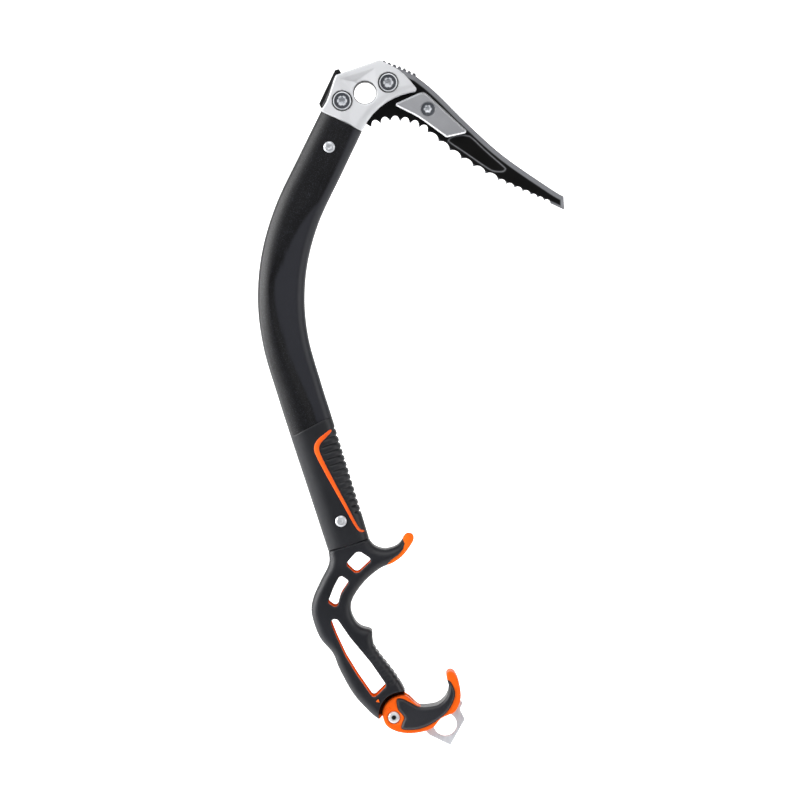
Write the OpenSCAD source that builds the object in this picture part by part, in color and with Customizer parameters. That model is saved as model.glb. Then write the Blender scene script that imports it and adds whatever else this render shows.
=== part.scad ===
// Technical ice axe for steep ice: curved tube shaft, slotted head with a bolted pick,
// moulded handle with an upper finger rest, and a lower hand rest that turns to fit the hand.
// The axe stands upright in the XZ plane with the pick towards +X.
// The origin is the centre of the carabiner eye in the head.

/* [Shaft] */
// Thickness of the shaft from side to side
shaft_thick = 22; // [20:0.5:24]
// Wall of the shaft tube
shaft_wall = 1.8; // [1.2:0.1:2.2]
// Depth lost where the tube steps down under the rubber sleeve
sleeve_step = 2.6; // [2:0.1:3.4]
// Slope of the sleeve's upper edge
sleeve_tilt = 9.7; // [0:0.1:12]
// Length of shaft that each joining stub fills
stub_rings = 4; // [3:1:5]

/* [Head] */
// Radius of the carabiner eye
eye_r = 8.1; // [7:0.1:8.4]
// Half of the head's thickness at the shaft
head_half_rear = 11.2; // [10.5:0.1:12]
// Half of the head's thickness around the eye
head_half_eye = 10; // [9:0.1:10.5]
// Half of the head's thickness at its front tip
head_half_tip = 8; // [7.5:0.1:9]
// Radius of a pick bolt's shank
pick_bolt_r = 4; // [3:0.5:4.5]
// Radius of a pick bolt's head
pick_bolt_head_r = 6.6; // [6:0.1:6.9]
// Radius of the recess that a pick bolt's head sits in
pick_bolt_recess_r = 7.3; // [7:0.1:7.6]

/* [Pick] */
// Thickness of the pick's blade
pick_thick = 4; // [3:0.1:4.4]
// Height of the small top teeth
top_tooth_height = 1.7; // [1:0.1:2]
// Thickness of each pick weight
weight_thick = 4.4; // [3:0.1:5]
// Radius of the weight screw's head
weight_screw_head_r = 5.1; // [4.5:0.1:5.5]

/* [Handle] */
// Half thickness of the handle's orange core
core_half = 6.5; // [5:0.5:7.5]
// Half thickness of the handle's grip at its fullest
handle_half = 12.8; // [12:0.1:14]
// Thickness of the grip skin over the edge of the core
skin = 2.6; // [2:0.1:3]
// Thickness of the core's rim around each window
window_rim = 1.1; // [0.8:0.1:1.4]
// Half width of the core's rim through each window
rim_half = 9.6; // [8:0.1:10]
// Half width of the finger rest's orange tip
finger_tip_half = 9.5; // [8:0.5:10]

/* [Hand rest] */
// Half thickness of the tongue that the hand rest turns on
tongue_half = 4; // [3.5:0.1:4.5]
// Outer radius of the tongue's wide sector
tongue_r = 17.8; // [17:0.1:18.2]
// Half thickness of the hand rest's orange body
rest_half = 10.4; // [9.5:0.1:11]
// Half thickness of the hand rest's soft pad
pad_half = 12; // [11.5:0.1:12.6]
// Radius of the pivot bolt's shank
pivot_r = 3; // [2.5:0.1:3.2]
// Radius of the pivot bolt's head
pivot_head_r = 4.4; // [4:0.1:4.6]
// Turn between two neighbouring size marks
size_step = 16; // [12:1:16]
// Thickness of the steel spike
spike_thick = 4; // [3:0.5:5]
// Radius of the eye in the spike
spike_eye_r = 8.4; // [7.5:0.1:8.6]

/* [Hidden] */
$fn = 48;
gap = 0.05;           // clearance between fixed pieces that sit in one another
side_gap = 0.3;       // clearance each side of the tongue
spacing = 4;          // rings of the shaft between two of its guide points
ring_sides = 24;      // corners of each shaft ring
squareness = 0.72;    // below 1 the shaft's section is fuller than an ellipse
through = 60;         // long enough to cut through everything

// Guide points down the middle of the shaft: x, z and the shaft's depth there
SHAFT_LINE = [
    [-17.3, -20.7, 33.2], [-32.8, -52.5, 33.6], [-48.9, -86.4, 33.8], [-58.3, -118.2, 34.2],
    [-61.2, -149.9, 34.2], [-57.8, -181.3, 33.6], [-48.2, -214.9, 33.1], [-39.3, -243.0, 33.0],
    [-25.4, -286.5, 32.2], [-12.0, -329.3, 31.2]
];
sleeve_ring = 7 * spacing;             // the ring where the sleeve starts
last_ring = 9 * spacing;               // the ring where the handle starts
sleeve_thick = shaft_thick + 1.2;
stripe_deep = 1;
rivet_r = 3;
rivet_head_r = 4.1;
rivet_head_high = 1.3;
UPPER_RIVET = [-25.9, -39.6];
LOWER_RIVET = [-17.5, -311.2];

// Head, pick and weights: corners as x, z and the radius that rounds them
front_face = head_half_eye - 0.5;      // where the front bolt's face lies
rear_face = head_half_rear - 0.3;      // where the rear bolt's face lies
bolt_head_thick = 4.6;
cap_half = 9.5;
lug_half = 1.9;
FRONT_BOLT = [16.9, 7.2];
REAR_BOLT = [-16.6, -6.1];
WEIGHT_SCREW = [45.6, -11.8];
weight_face = pick_thick / 2 + weight_thick;
HEAD_CORNERS = [
    [-32.2, -13.35, 0], [-29.9, -9.9, 0], [-27.9, -6.6, 0], [-26.5, -3.2, 0], [-25.2, 0.6, 0],
    [-24, 4.4, 0], [-22.7, 8.4, 0], [-21.2, 12.5, 2], [10.4, 23.7, 3], [26.8, 15.9, 40],
    [39, 1.1, 2], [9.6, -4.2, 48], [-2.4, -27.92, 0]
];
HEAD_SIDE = [[-34, head_half_rear], [-18, head_half_rear], [-11, head_half_eye],
    [15, head_half_eye], [40, head_half_tip]];
SLOT_CORNERS = [
    [-28.6, -11, 0], [-21.5, 7.2, 0], [-12, 12.7, 2], [10.2, 20.9, 3], [12, 30, 0], [60, 30, 0],
    [60, -40, 0], [-2.6, -40, 0], [0.2, -22.4, 0], [-3, -13, 6], [-18, -16.6, 8]
];
TANG_CORNERS = [
    [1.2, -22.4, 0.5], [-2.8, -12.4, 6], [-17.6, -16.2, 8], [-27, -3, 8], [-11.6, 12.2, 3],
    [9.6, 20.2, 2]
];
TOP_TEETH = 7;
TOP_LINE = [[12.4, 22.4], [25.4, 17.6], [37.8, 11.7]];
CAP_CORNERS = [
    [-21.8, 16.2, 1], [-18.8, 17, 1], [-17, 13.9, 0.6], [-21.3, 12.4, 1], [-22.6, 6.4, 0],
    [-26.6, -5.6, 0], [-31.2, -12.2, 1], [-33.4, -8.2, 1]
];
WEIGHT_CORNERS = [
    [20.6, -8.5, 1.3], [42.6, 1.4, 6], [75.2, -28.7, 1.6], [59.2, -32.3, 2.2], [38.5, -17.3, 60]
];

// Pick: the back of the blade, the line of the tooth points, and the groups of teeth
PICK_BACK = [[37.8, 11.7], [51.1, 0.9], [74.6, -22.3], [100.7, -45.6], [134.2, -68.8],
    [144.6, -75]];
PICK_POINT = [145.2, -84.8];
TOOTH_LINE = [[4.6, -24.6], [18.8, -20.1], [33, -22.3], [45.1, -28.4], [61.8, -41.9], [79, -53.5],
    [96.8, -63.2], [115, -71.5], [130.4, -78.1], [138, -81.2]];
// Each group is the number of teeth, the spacing and the depth of the gullets
TOOTH_GROUPS = [[6, 7.2, 4.1], [6, 10.4, 2.8], [4, 6.5, 2.2], [3, 5.2, 1.9]];

// Handle: its outer line, which runs on under the sleeve and past the hand rest's hollow,
// the corners of its windows, and the line that bounds the orange tip
HANDLE_BACK = [[-29.2, -326.4], [-26.7, -334.1], [-26.6, -343.3], [-32.3, -355], [-38, -368],
    [-38.9, -379.5], [-33.2, -396.1], [-23.6, -407.8], [-18.7, -419.6], [-8.9, -437.2],
    [1.4, -448.9], [9.3, -455.7], [20, -460]];
HANDLE_FRONT = [[33.6, -444.4], [31.2, -439.8], [23.5, -425.4], [10, -407.8], [5.7, -400], [5.2, -392.6],
    [3.4, -390.4], [-2.4, -388.7], [-7.4, -384.3], [-10.5, -376], [-8.6, -366.8], [-0.1, -355],
    [10.8, -345.9], [19.6, -342.2], [26.9, -337.1], [32.7, -329.7], [35.4, -324.4], [34.4, -321.6],
    [31.6, -320.8], [29, -321.9], [25.6, -327], [21.7, -330], [14.4, -331.9], [7.1, -329.7],
    [2.6, -324.4], [0.4, -317.4]];
UPPER_WINDOW = [[-5.2, -332.2, 4.5], [5.4, -339.3, 2.6], [-6.2, -350.2, 3.6], [-14.4, -342.6, 3]];
MIDDLE_WINDOW = [[-18, -350.3, 2.4], [-11.2, -355, 2.4], [-18, -365, 14], [-20.6, -375.2, 2.4],
    [-27.2, -370.6, 2.4], [-22.6, -358.6, 30]];
LOWER_WINDOW = [[-26.4, -381.6, 2.6], [-19.9, -383, 2], [-11, -396, 40], [4.3, -414.4, 60],
    [15.9, -431.2, 2.6], [6.1, -440.8, 2.4], [-15, -410.5, 140]];
TIP_LINE = [[13, -347], [18.8, -339.4], [23.9, -336.1], [27.4, -332], [28.8, -327.4], [26.5, -322.5],
    [30, -316], [40, -318], [40, -347]];

// Hand rest: pivot, centre of its round end, its outline, the soft pad and the spike
PIVOT = [21, -454.7];
REST_END = [26.6, -452.3];
handle_end_r = 16.6;                   // hollow end of the handle, round REST_END
core_stub_less = shaft_wall + sleeve_step / 2 + gap * 2;
bush_r = 4.6;
tongue_from = 12;                      // the angle where the tongue's wide sector starts
tongue_small_r = 6.8;
pad_deep = 3.2;
pivot_face = rest_half - 0.2;
pivot_head_thick = 3;
spike_pin_r = 1.5;
REST_LINE = [[30.5, -439.2], [24.2, -438.7], [17.6, -441.8], [13.4, -447.6], [12.9, -454.2],
    [16.3, -461.4], [25.4, -465.6], [36.4, -466.1], [48.4, -462.9], [54.9, -455.9], [60.2, -453.1],
    [65.4, -450.6], [69, -444], [69.7, -436.4], [67.8, -427.4], [65.2, -422.4], [62.4, -420.8],
    [59.6, -422.2], [59.4, -425.8], [61.2, -433], [59, -440], [53.3, -445.2], [45.6, -446.9],
    [39.6, -446.6], [35, -443]];
PAD_LINE = [[22.9, -441.6], [26.9, -440.7], [32.7, -443.4], [39.2, -446.8], [45.6, -447.1],
    [53.3, -445.4], [59, -440.2], [61.2, -433], [60.4, -427.2], [63.4, -430.2], [65.7, -437.3],
    [63, -445.7], [57.5, -453], [48, -459.6], [40, -462.9], [31.2, -463.8], [26.4, -462.6],
    [27.2, -458], [28.3, -454.3], [24, -448.8]];
SPIKE_CORNERS = [[47, -452, 2], [43.6, -465.2, 1], [46.7, -468.4, 1], [62.3, -476, 0.5],
    [72.9, -457, 0.6], [69.6, -450.6, 3], [69.8, -447.8, 3], [71.6, -445, 0.5], [66.5, -440.5, 3],
    [60, -449.4, 4]];
SPIKE_EYE = [58.5, -460.7];
SPIKE_PINS = [[48.2, -457.4], [64.4, -446.2]];

// Stripe on the sleeve: x, z and its width there
STRIPE_LINE = [[-24.6, -244.9, 1.8], [-28.9, -248.9, 2.8], [-33.3, -253.1, 3.4], [-35.2, -258, 3.6],
    [-33.2, -264.6, 3.4], [-25.3, -279.9, 3], [-14.7, -299.3, 2.4], [-5.4, -316.2, 1.9],
    [-0.6, -318.6, 1.4]];

// ---- curves ----

// A point on a smooth curve between b and c, with a before them and d after them
function between(a, b, c, d, t) =
    0.5 * (2 * b + (c - a) * t + (2 * a - 5 * b + 4 * c - d) * t * t
        + (3 * b - a - 3 * c + d) * t * t * t);

// A smooth open curve through the points p, with n steps between neighbours
function open_curve(p, n) = let (last = len(p) - 1) [
    for (i = [0:last - 1])
        for (k = [0:n - 1])
            between(p[max(i - 1, 0)], p[i], p[i + 1], p[min(i + 2, last)], k / n),
    p[last]
];

// A smooth closed curve through the points p
function closed_curve(p, n) = let (m = len(p)) [
    for (i = [0:m - 1])
        for (k = [0:n - 1])
            between(p[(i + m - 1) % m], p[i], p[(i + 1) % m], p[(i + 2) % m], k / n)
];

function unit(v) = v / norm(v);
function flat(p) = [p[0], p[1]];

// The arc of radius r that rounds the corner p between its neighbours a and b
function corner_arc(a, p, b, r) = let (
    u = unit(a - p),
    v = unit(b - p),
    half = acos(u * v) / 2,
    centre = p + unit(u + v) * r / sin(half),
    start = p + u * r / tan(half) - centre,
    way = -sign(cross(u, v)),
    turn = 180 - 2 * half,
    n = ceil(turn / 9) + 1
) [
    for (k = [0:n]) let (t = atan2(start[1], start[0]) + way * turn * k / n)
        centre + r * [cos(t), sin(t)]
];

// An outline from corners given as x, z and radius
function rounded(c) = let (m = len(c)) [
    for (i = [0:m - 1])
        each c[i][2] == 0 ? [flat(c[i])]
            : corner_arc(flat(c[(i + m - 1) % m]), flat(c[i]), flat(c[(i + 1) % m]), c[i][2])
];

// The same with both ends left free: the first and last corners only steer
function rounded_open(c) = [
    for (i = [0:len(c) - 1])
        each i == 0 || i == len(c) - 1 ? [flat(c[i])]
            : corner_arc(flat(c[i - 1]), flat(c[i]), flat(c[i + 1]), c[i][2])
];

// The point at distance d along a line of points
function along(p, d, i = 0) = let (step = norm(p[i + 1] - p[i]))
    d <= step || i == len(p) - 2 ? p[i] + (p[i + 1] - p[i]) * d / step : along(p, d - step, i + 1);

function circle_points(centre, r, from, to, n) =
    [for (k = [0:n]) let (t = from + (to - from) * k / n) centre + r * [cos(t), sin(t)]];

// ---- solids ----

// A plate that stands in the XZ plane, from y = low to y = high
module plate(low, high) {
    translate([0, high, 0]) rotate([90, 0, 0]) linear_extrude(high - low) children();
}

// A round bar along Y
module bar(p, r, low, high) {
    translate([p[0], high, p[1]]) rotate([90, 0, 0]) cylinder(r = r, h = high - low);
}

// A turned piece about an axis along Y: the profile is radius and y
module turned(p, profile) {
    translate([p[0], 0, p[1]]) rotate([-90, 0, 0]) rotate_extrude() polygon(profile);
}

// A hexagonal socket along Y, measured across its corners
module hex_socket(p, across, low, high) {
    translate([p[0], high, p[1]]) rotate([90, 0, 0]) cylinder(d = across, h = high - low, $fn = 6);
}

// A closed solid through rings that have the same number of points
module lofted(rings) {
    n = len(rings[0]);
    m = len(rings);
    polyhedron(
        points = [for (ring = rings) each ring],
        faces = [
            [for (i = [n - 1:-1:0]) i],
            [for (i = [0:n - 1]) (m - 1) * n + i],
            for (j = [0:m - 2])
                for (i = [0:n - 1])
                    each let (a = j * n + i, b = j * n + (i + 1) % n)
                        [[a, b, a + n], [b, b + n, a + n]]
        ]
    );
}

// ---- shaft ----

shaft_line = open_curve(SHAFT_LINE, spacing);

function shaft_way(i) =
    unit(flat(shaft_line[min(i + 1, last_ring)]) - flat(shaft_line[max(i - 1, 0)]));

function full_power(v) = sign(v) * pow(abs(v), squareness);

// One ring of the shaft, shifted along it and tilted; less shrinks it all round
function shaft_ring(i, less = 0, thick = shaft_thick, shift = 0, tilt = 0) = let (
    way = shaft_way(i),
    centre = flat(shaft_line[i]) + way * shift,
    slant = atan2(way[1], way[0]) + 90 + tilt,
    half_depth = (shaft_line[i][2] / 2 - less) / cos(tilt),
    half_thick = thick / 2 - less
) [
    for (k = [0:ring_sides - 1]) let (
        t = 360 * (k + 0.5) / ring_sides,
        across = half_depth * full_power(cos(t))
    ) [centre[0] + across * cos(slant), half_thick * full_power(sin(t)), centre[1] + across * sin(slant)]
];

// The outside of the tube, which steps down where the sleeve covers it
module shaft_solid(less, past = 0) {
    slim = less + sleeve_step / 2;
    lofted([
        if (past > 0) shaft_ring(0, less, shift = -past),
        for (i = [0:sleeve_ring - 1]) shaft_ring(i, less),
        shaft_ring(sleeve_ring, less, tilt = sleeve_tilt),
        shaft_ring(sleeve_ring, slim, shift = 0.4, tilt = sleeve_tilt),
        for (i = [sleeve_ring + 1:last_ring]) shaft_ring(i, slim),
        if (past > 0) shaft_ring(last_ring, slim, shift = past)
    ]);
}

module shaft() color("#17181b") difference() {
    shaft_solid(0);
    shaft_solid(shaft_wall, 2);
    bar(UPPER_RIVET, rivet_r + gap, -through, through);
    bar(LOWER_RIVET, rivet_r + gap, -through, through);
}

// A through rivet: its heads sit on faces at plus and minus half
module rivet(p, half) color("#c4c6c9") turned(p, [
    [0, -half - rivet_head_high], [rivet_head_r * 0.6, -half - rivet_head_high],
    [rivet_head_r * 0.9, -half - rivet_head_high * 0.55], [rivet_head_r, -half], [rivet_r, -half],
    [rivet_r, half], [rivet_head_r, half], [rivet_head_r * 0.9, half + rivet_head_high * 0.55],
    [rivet_head_r * 0.6, half + rivet_head_high], [0, half + rivet_head_high]
]);

module upper_rivet() rivet(UPPER_RIVET, shaft_thick / 2 + gap);
module lower_rivet() rivet(LOWER_RIVET, sleeve_thick / 2 + gap);

// ---- grip sleeve ----

module sleeve_solid(less) {
    lofted([
        shaft_ring(sleeve_ring, less, sleeve_thick, 0.5, sleeve_tilt),
        for (i = [sleeve_ring + 1:last_ring - 1]) shaft_ring(i, less, sleeve_thick),
        shaft_ring(last_ring, less, sleeve_thick, -gap)
    ]);
}

module stripe_area() {
    line = open_curve(STRIPE_LINE, 3);
    last = len(line) - 1;
    sides = [for (side = [1, -1]) [for (i = [0:last]) let (
        way = unit(flat(line[min(i + 1, last)]) - flat(line[max(i - 1, 0)]))
    ) flat(line[i]) + side * line[i][2] / 2 * [-way[1], way[0]]]];
    polygon([each sides[0], for (i = [last:-1:0]) sides[1][i]]);
}

module grip_sleeve() color("#2c2d31") difference() {
    sleeve_solid(0);
    shaft_solid(-gap, 2);
    bar(LOWER_RIVET, rivet_r + gap, -through, through);
    for (side = [-1, 1]) stripe(side, gap);
}

// The inlaid stripe on one side; room widens the groove it lies in
module stripe(side, room = 0) {
    face = sleeve_thick / 2 + 0.25;
    low = face - stripe_deep - 0.25 - room;
    high = face + room;
    plate(side > 0 ? low : -high, side > 0 ? high : -low) stripe_area();
}

module right_stripe() color("#ee5f1c") stripe(-1);
module left_stripe() color("#ee5f1c") stripe(1);

// ---- head ----

module head_outline() polygon(rounded(HEAD_CORNERS));

module head() color("#d3d4d6") difference() {
    union() {
        intersection() {
            plate(-through / 2, through / 2) head_outline();
            translate([0, 0, -40]) linear_extrude(80) polygon([
                for (p = HEAD_SIDE) p,
                for (i = [len(HEAD_SIDE) - 1:-1:0]) [HEAD_SIDE[i][0], -HEAD_SIDE[i][1]]
            ]);
        }
        lofted([
            shaft_ring(0, shaft_wall + gap * 2, shift = -2),
            for (i = [0:stub_rings]) shaft_ring(i, shaft_wall + gap * 2)
        ]);
    }
    plate(-pick_thick / 2 - gap, pick_thick / 2 + gap) polygon(rounded(SLOT_CORNERS));
    plate(-lug_half - gap, lug_half + gap) lug_area(gap);
    bar([0, 0], eye_r, -through, through);
    bar(UPPER_RIVET, rivet_r + gap, -through, through);
    pick_bolt_holes(FRONT_BOLT, front_face);
    pick_bolt_holes(REAR_BOLT, rear_face);
}

module pick_bolt_holes(p, face) {
    bar(p, pick_bolt_r + gap, -through, through);
    bar(p, pick_bolt_recess_r, -through, -face + bolt_head_thick);
    bar(p, pick_bolt_recess_r, face - bolt_head_thick, through);
}

// The cap lies on the head's rear edge, and its lug sits in a groove there
module rear_cap() color("#131315") {
    difference() {
        plate(-cap_half, cap_half) polygon(rounded(CAP_CORNERS));
        plate(-through, through) translate([-gap, gap]) head_outline();
    }
    plate(-lug_half, lug_half) lug_area(0);
}

module lug_area(grow) polygon([
    [-22.4, 11.5 + grow], [-31.2, -9.6 - 2 * grow], [-28.9 + grow, -10 - 2 * grow],
    [-21.3 + grow, 8.2 + grow]
]);

module pick_bolt(p, face) color("#b9bcc0") difference() {
    union() {
        bar(p, pick_bolt_head_r, -face, -face + bolt_head_thick - gap);
        bar(p, pick_bolt_r, -face + bolt_head_thick - gap, face - 1);
    }
    hex_socket(p, 6.6, -face - 1, -face + 3);
}

module pick_nut(p, face) color("#b9bcc0") difference() {
    bar(p, pick_bolt_head_r, face - bolt_head_thick + gap, face);
    bar(p, pick_bolt_r + gap, -through, through);
}

module front_pick_bolt() pick_bolt(FRONT_BOLT, front_face);
module rear_pick_bolt() pick_bolt(REAR_BOLT, rear_face);
module front_pick_nut() pick_nut(FRONT_BOLT, front_face);
module rear_pick_nut() pick_nut(REAR_BOLT, rear_face);

// ---- pick ----

tooth_line = open_curve(TOOTH_LINE, 8);

// Distances of the tooth points along the tooth line
function tooth_places(g = 0, from = 0) = g == len(TOOTH_GROUPS) ? []
    : [
        for (i = [1:TOOTH_GROUPS[g][0]])
            [from + i * TOOTH_GROUPS[g][1], TOOTH_GROUPS[g][1], TOOTH_GROUPS[g][2]],
        each tooth_places(g + 1, from + TOOTH_GROUPS[g][0] * TOOTH_GROUPS[g][1])
    ];

// The notched edge: each gullet is part of an ellipse that ends at a tooth point
function gullet(place) = let (
    tip = along(tooth_line, place[0]),
    root = along(tooth_line, place[0] - place[1]),
    chord = tip - root,
    up = [-chord[1], chord[0]] / norm(chord)
) [
    for (k = [1:7]) let (t = 180 * k / 8)
        root + chord * (0.5 - 0.44 * cos(t)) + up * place[2] * sin(t),
    tip
];

pick_teeth = [TOOTH_LINE[0], for (place = tooth_places()) each gullet(place)];

// The whole blade: tang inside the head, top teeth, back, point and the notched edge
module pick_outline() polygon([
    for (i = [len(pick_teeth) - 1:-1:0]) pick_teeth[i],
    each rounded_open(TANG_CORNERS),
    each top_teeth(),
    each open_curve(PICK_BACK, 6),
    PICK_POINT
]);

function top_line(t) = t < 0.5 ? TOP_LINE[0] + (TOP_LINE[1] - TOP_LINE[0]) * t * 2
    : TOP_LINE[1] + (TOP_LINE[2] - TOP_LINE[1]) * (t * 2 - 1);

// Small saw teeth along the top, each steep in front
function top_teeth() = [
    for (i = [0:TOP_TEETH - 1]) let (
        t = i / TOP_TEETH,
        base = top_line(t),
        next = top_line(t + 0.55 / TOP_TEETH)
    )
        each [
            base, base + [1.1, top_tooth_height], next + [0.9, top_tooth_height * 0.55],
            next + [0.6, 0]
        ]
];

module pick() color("#1b1c1f") difference() {
    plate(-pick_thick / 2, pick_thick / 2) pick_outline();
    bar([0, 0], eye_r + 0.6, -through, through);
    bar(FRONT_BOLT, pick_bolt_r + gap, -through, through);
    bar(REAR_BOLT, pick_bolt_r + gap, -through, through);
    bar(WEIGHT_SCREW, 2.5 + gap, -through, through);
}

module weight_area() polygon(rounded(WEIGHT_CORNERS));

module pick_weight(low, high) color("#a9abae") difference() {
    plate(low, high) weight_area();
    bar(WEIGHT_SCREW, 2.5 + gap, -through, through);
    bar(WEIGHT_SCREW, weight_screw_head_r + 0.15, -through, -weight_face + 2.4);
    bar(WEIGHT_SCREW, weight_screw_head_r + 0.15, weight_face - 2.4, through);
}

module right_pick_weight() pick_weight(-weight_face, -pick_thick / 2 - gap);
module left_pick_weight() pick_weight(pick_thick / 2 + gap, weight_face);

module weight_screw() color("#b9bcc0") difference() {
    union() {
        bar(WEIGHT_SCREW, weight_screw_head_r, -weight_face, -weight_face + 2.4 - gap);
        bar(WEIGHT_SCREW, 2.5, -weight_face + 2.4 - gap, weight_face - 0.5);
    }
    hex_socket(WEIGHT_SCREW, 4.6, -weight_face - 1, -weight_face + 2);
}

module weight_nut() color("#b9bcc0") difference() {
    bar(WEIGHT_SCREW, weight_screw_head_r, weight_face - 2.4 + gap, weight_face);
    bar(WEIGHT_SCREW, 2.5 + gap, -through, through);
}

// ---- handle ----

// The handle's side outline, with both of its ends left long
module handle_outline() polygon([each open_curve(HANDLE_BACK, 4), each open_curve(HANDLE_FRONT, 3)]);

// What trims its ends: the joint with the sleeve and the hollow for the hand rest
module beyond_handle(room = 0) {
    way = shaft_way(last_ring);
    side = [way[1], -way[0]];
    end = flat(shaft_line[last_ring]) + way * room;
    polygon([
        end + side * 40, end - side * 40, end - side * 40 - way * 40, end + side * 40 - way * 40
    ]);
    translate(REST_END) circle(r = handle_end_r + room);
    polygon([[11, -455.5], [60, -446], [60, -480], [11, -480]]);
}

module windows(grow = 0) {
    for (corners = [UPPER_WINDOW, MIDDLE_WINDOW, LOWER_WINDOW])
        offset(delta = grow) polygon(rounded(corners));
}

module tip_area() intersection() {
    handle_outline();
    polygon(TIP_LINE);
}

// The flat web in the middle of the core, set in from the grip's surface by less
module core_web(less) difference() {
    union() {
        offset(delta = -less) handle_outline();
        intersection() {
            offset(delta = 3) tip_area();
            offset(delta = -less * 0.4) handle_outline();
        }
    }
    beyond_handle();
}

// The tongue: a wide sector towards the hand and a small round below the pivot
module tongue_area() polygon([
    each circle_points(PIVOT, tongue_small_r, -212, tongue_from, 20),
    each circle_points(PIVOT, tongue_r, tongue_from, 54, 8),
    [26, -434], [10, -436], [0, -444], [10.4, -456.6]
]);

// The stub that fills the end of the shaft
module core_stub(less) lofted([
    for (i = [last_ring - stub_rings:last_ring]) shaft_ring(i, less),
    shaft_ring(last_ring, less, shift = 8)
]);

// The moulded orange core: web, window rims, stub, finger rest tip and tongue
module handle_core() color("#ee5f1c") difference() {
    union() {
        plate(-core_half, core_half) core_web(skin);
        plate(-finger_tip_half, finger_tip_half) tip_area();
        plate(-rim_half, rim_half) windows(window_rim);
        core_stub(core_stub_less);
        plate(-tongue_half, tongue_half) tongue_area();
    }
    plate(-through, through) windows();
    bar(LOWER_RIVET, rivet_r + gap, -through, through);
    bar(PIVOT, bush_r, -through, through);
}

// The soft grip moulded over the core, rounded in four steps
module handle_grip() color("#2c2d31") difference() {
    for (step = [[0, 0.52], [1.1, 0.75], [2.6, 0.9], [5, 1]])
        plate(-handle_half * step[1], handle_half * step[1]) offset(delta = -step[0]) handle_outline();
    plate(-through, through) beyond_handle(gap);
    plate(-core_half - gap, core_half + gap) offset(delta = gap) core_web(skin);
    plate(-through, through) offset(delta = gap) tip_area();
    plate(-through, through) windows();
    plate(-rim_half - gap, rim_half + gap) windows(window_rim + gap);
    core_stub(core_stub_less - gap);
    plate(-tongue_half - gap, tongue_half + gap) offset(delta = gap) tongue_area();
    plate(-through, -handle_half + 3) polygon(pointer_points(0.1));
}

// The raised arrow on the grip that points at the size marks
function pointer_points(grow) = let (r = 1.5 + grow, centre = [9.4, -442.2])
    [for (k = [0:2]) centre + r * [cos(120 * k - 47), sin(120 * k - 47)]];

module size_pointer() color("#ee5f1c")
    plate(-handle_half * 0.9 - 0.9, -handle_half + 3 - gap) polygon(pointer_points(0));

// ---- hand rest ----

module rest_outline() polygon(closed_curve(REST_LINE, 4));

// Room for the tongue: a sector wider than the tongue by the turn each way
module tongue_room() {
    polygon([
        PIVOT,
        each circle_points(PIVOT, tongue_r + 0.5, tongue_from - size_step - 3, 200, 20)
    ]);
    polygon(circle_points(PIVOT, tongue_small_r + 0.6, 0, 345, 23));
    polygon([PIVOT, each circle_points(PIVOT, tongue_r + 0.5, 195, 262, 8)]);
}

module hand_rest() color("#ee5f1c") difference() {
    plate(-rest_half, rest_half) rest_outline();
    pad_room();
    plate(-tongue_half - side_gap, tongue_half + side_gap) tongue_room();
    plate(-spike_thick / 2 - gap, spike_thick / 2 + gap) spike_area(gap);
    bar(PIVOT, pivot_r + gap, -through, through);
    bar(PIVOT, pivot_head_r + 0.3, -through, -pivot_face + pivot_head_thick);
    bar(PIVOT, pivot_head_r + 0.3, pivot_face - pivot_head_thick, through);
    for (p = SPIKE_PINS) bar(p, spike_pin_r + gap, -through, through);
}

module pad_area() polygon(closed_curve(PAD_LINE, 4));

// The hollow in the rest that the pad fills, wrapped over the inside of the hook
module pad_room() {
    plate(-through, -rest_half + pad_deep) pad_area();
    plate(rest_half - pad_deep, through) pad_area();
    plate(-through, through) wrap_area(gap);
}

// The strip along the inside of the hook that joins the pad's two sides
module wrap_area(grow = 0) intersection() {
    difference() {
        rest_outline();
        translate([1.6 + grow, -2.2 - grow]) rest_outline();
    }
    polygon([
        [40.5, -452], [40.5, -440], [57, -426], [61, -427.5], [66, -434], [60, -446], [52, -452]
    ]);
}

module hand_rest_pad() color("#2c2d31") difference() {
    union() {
        plate(-pad_half, -rest_half + pad_deep - gap) offset(delta = -gap) pad_area();
        plate(rest_half - pad_deep + gap, pad_half) offset(delta = -gap) pad_area();
        plate(-pad_half + 1, pad_half - 1) wrap_area();
    }
    bar(PIVOT, pivot_head_r + 0.6, -through, through);
}

module spike_area(grow = 0) offset(delta = grow) polygon(rounded(SPIKE_CORNERS));

module spike() color("#b4b6b8") difference() {
    plate(-spike_thick / 2, spike_thick / 2) spike_area();
    bar(SPIKE_EYE, spike_eye_r, -through, through);
    for (p = SPIKE_PINS) bar(p, spike_pin_r + gap, -through, through);
}

module spike_pins() color("#8f9194")
    for (p = SPIKE_PINS) bar(p, spike_pin_r, -rest_half + pad_deep + 0.2, rest_half - pad_deep - 0.2);

module pivot_bolt() color("#c4c6c9") difference() {
    union() {
        bar(PIVOT, pivot_head_r, -pivot_face, -pivot_face + pivot_head_thick - gap);
        bar(PIVOT, pivot_r, -pivot_face + pivot_head_thick - gap, pivot_face - 0.6);
    }
    hex_socket(PIVOT, 3.4, -pivot_face - 1, -pivot_face + 2.2);
}

module pivot_nut() color("#c4c6c9") difference() {
    bar(PIVOT, pivot_head_r, pivot_face - pivot_head_thick + gap, pivot_face);
    bar(PIVOT, pivot_r + gap, -through, through);
}

// The bush pressed into the tongue; the bolt turns in it
module pivot_bush() color("#c9a24a") difference() {
    bar(PIVOT, bush_r - 0.02, -tongue_half, tongue_half);
    bar(PIVOT, pivot_r + gap, -through, through);
}

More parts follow.
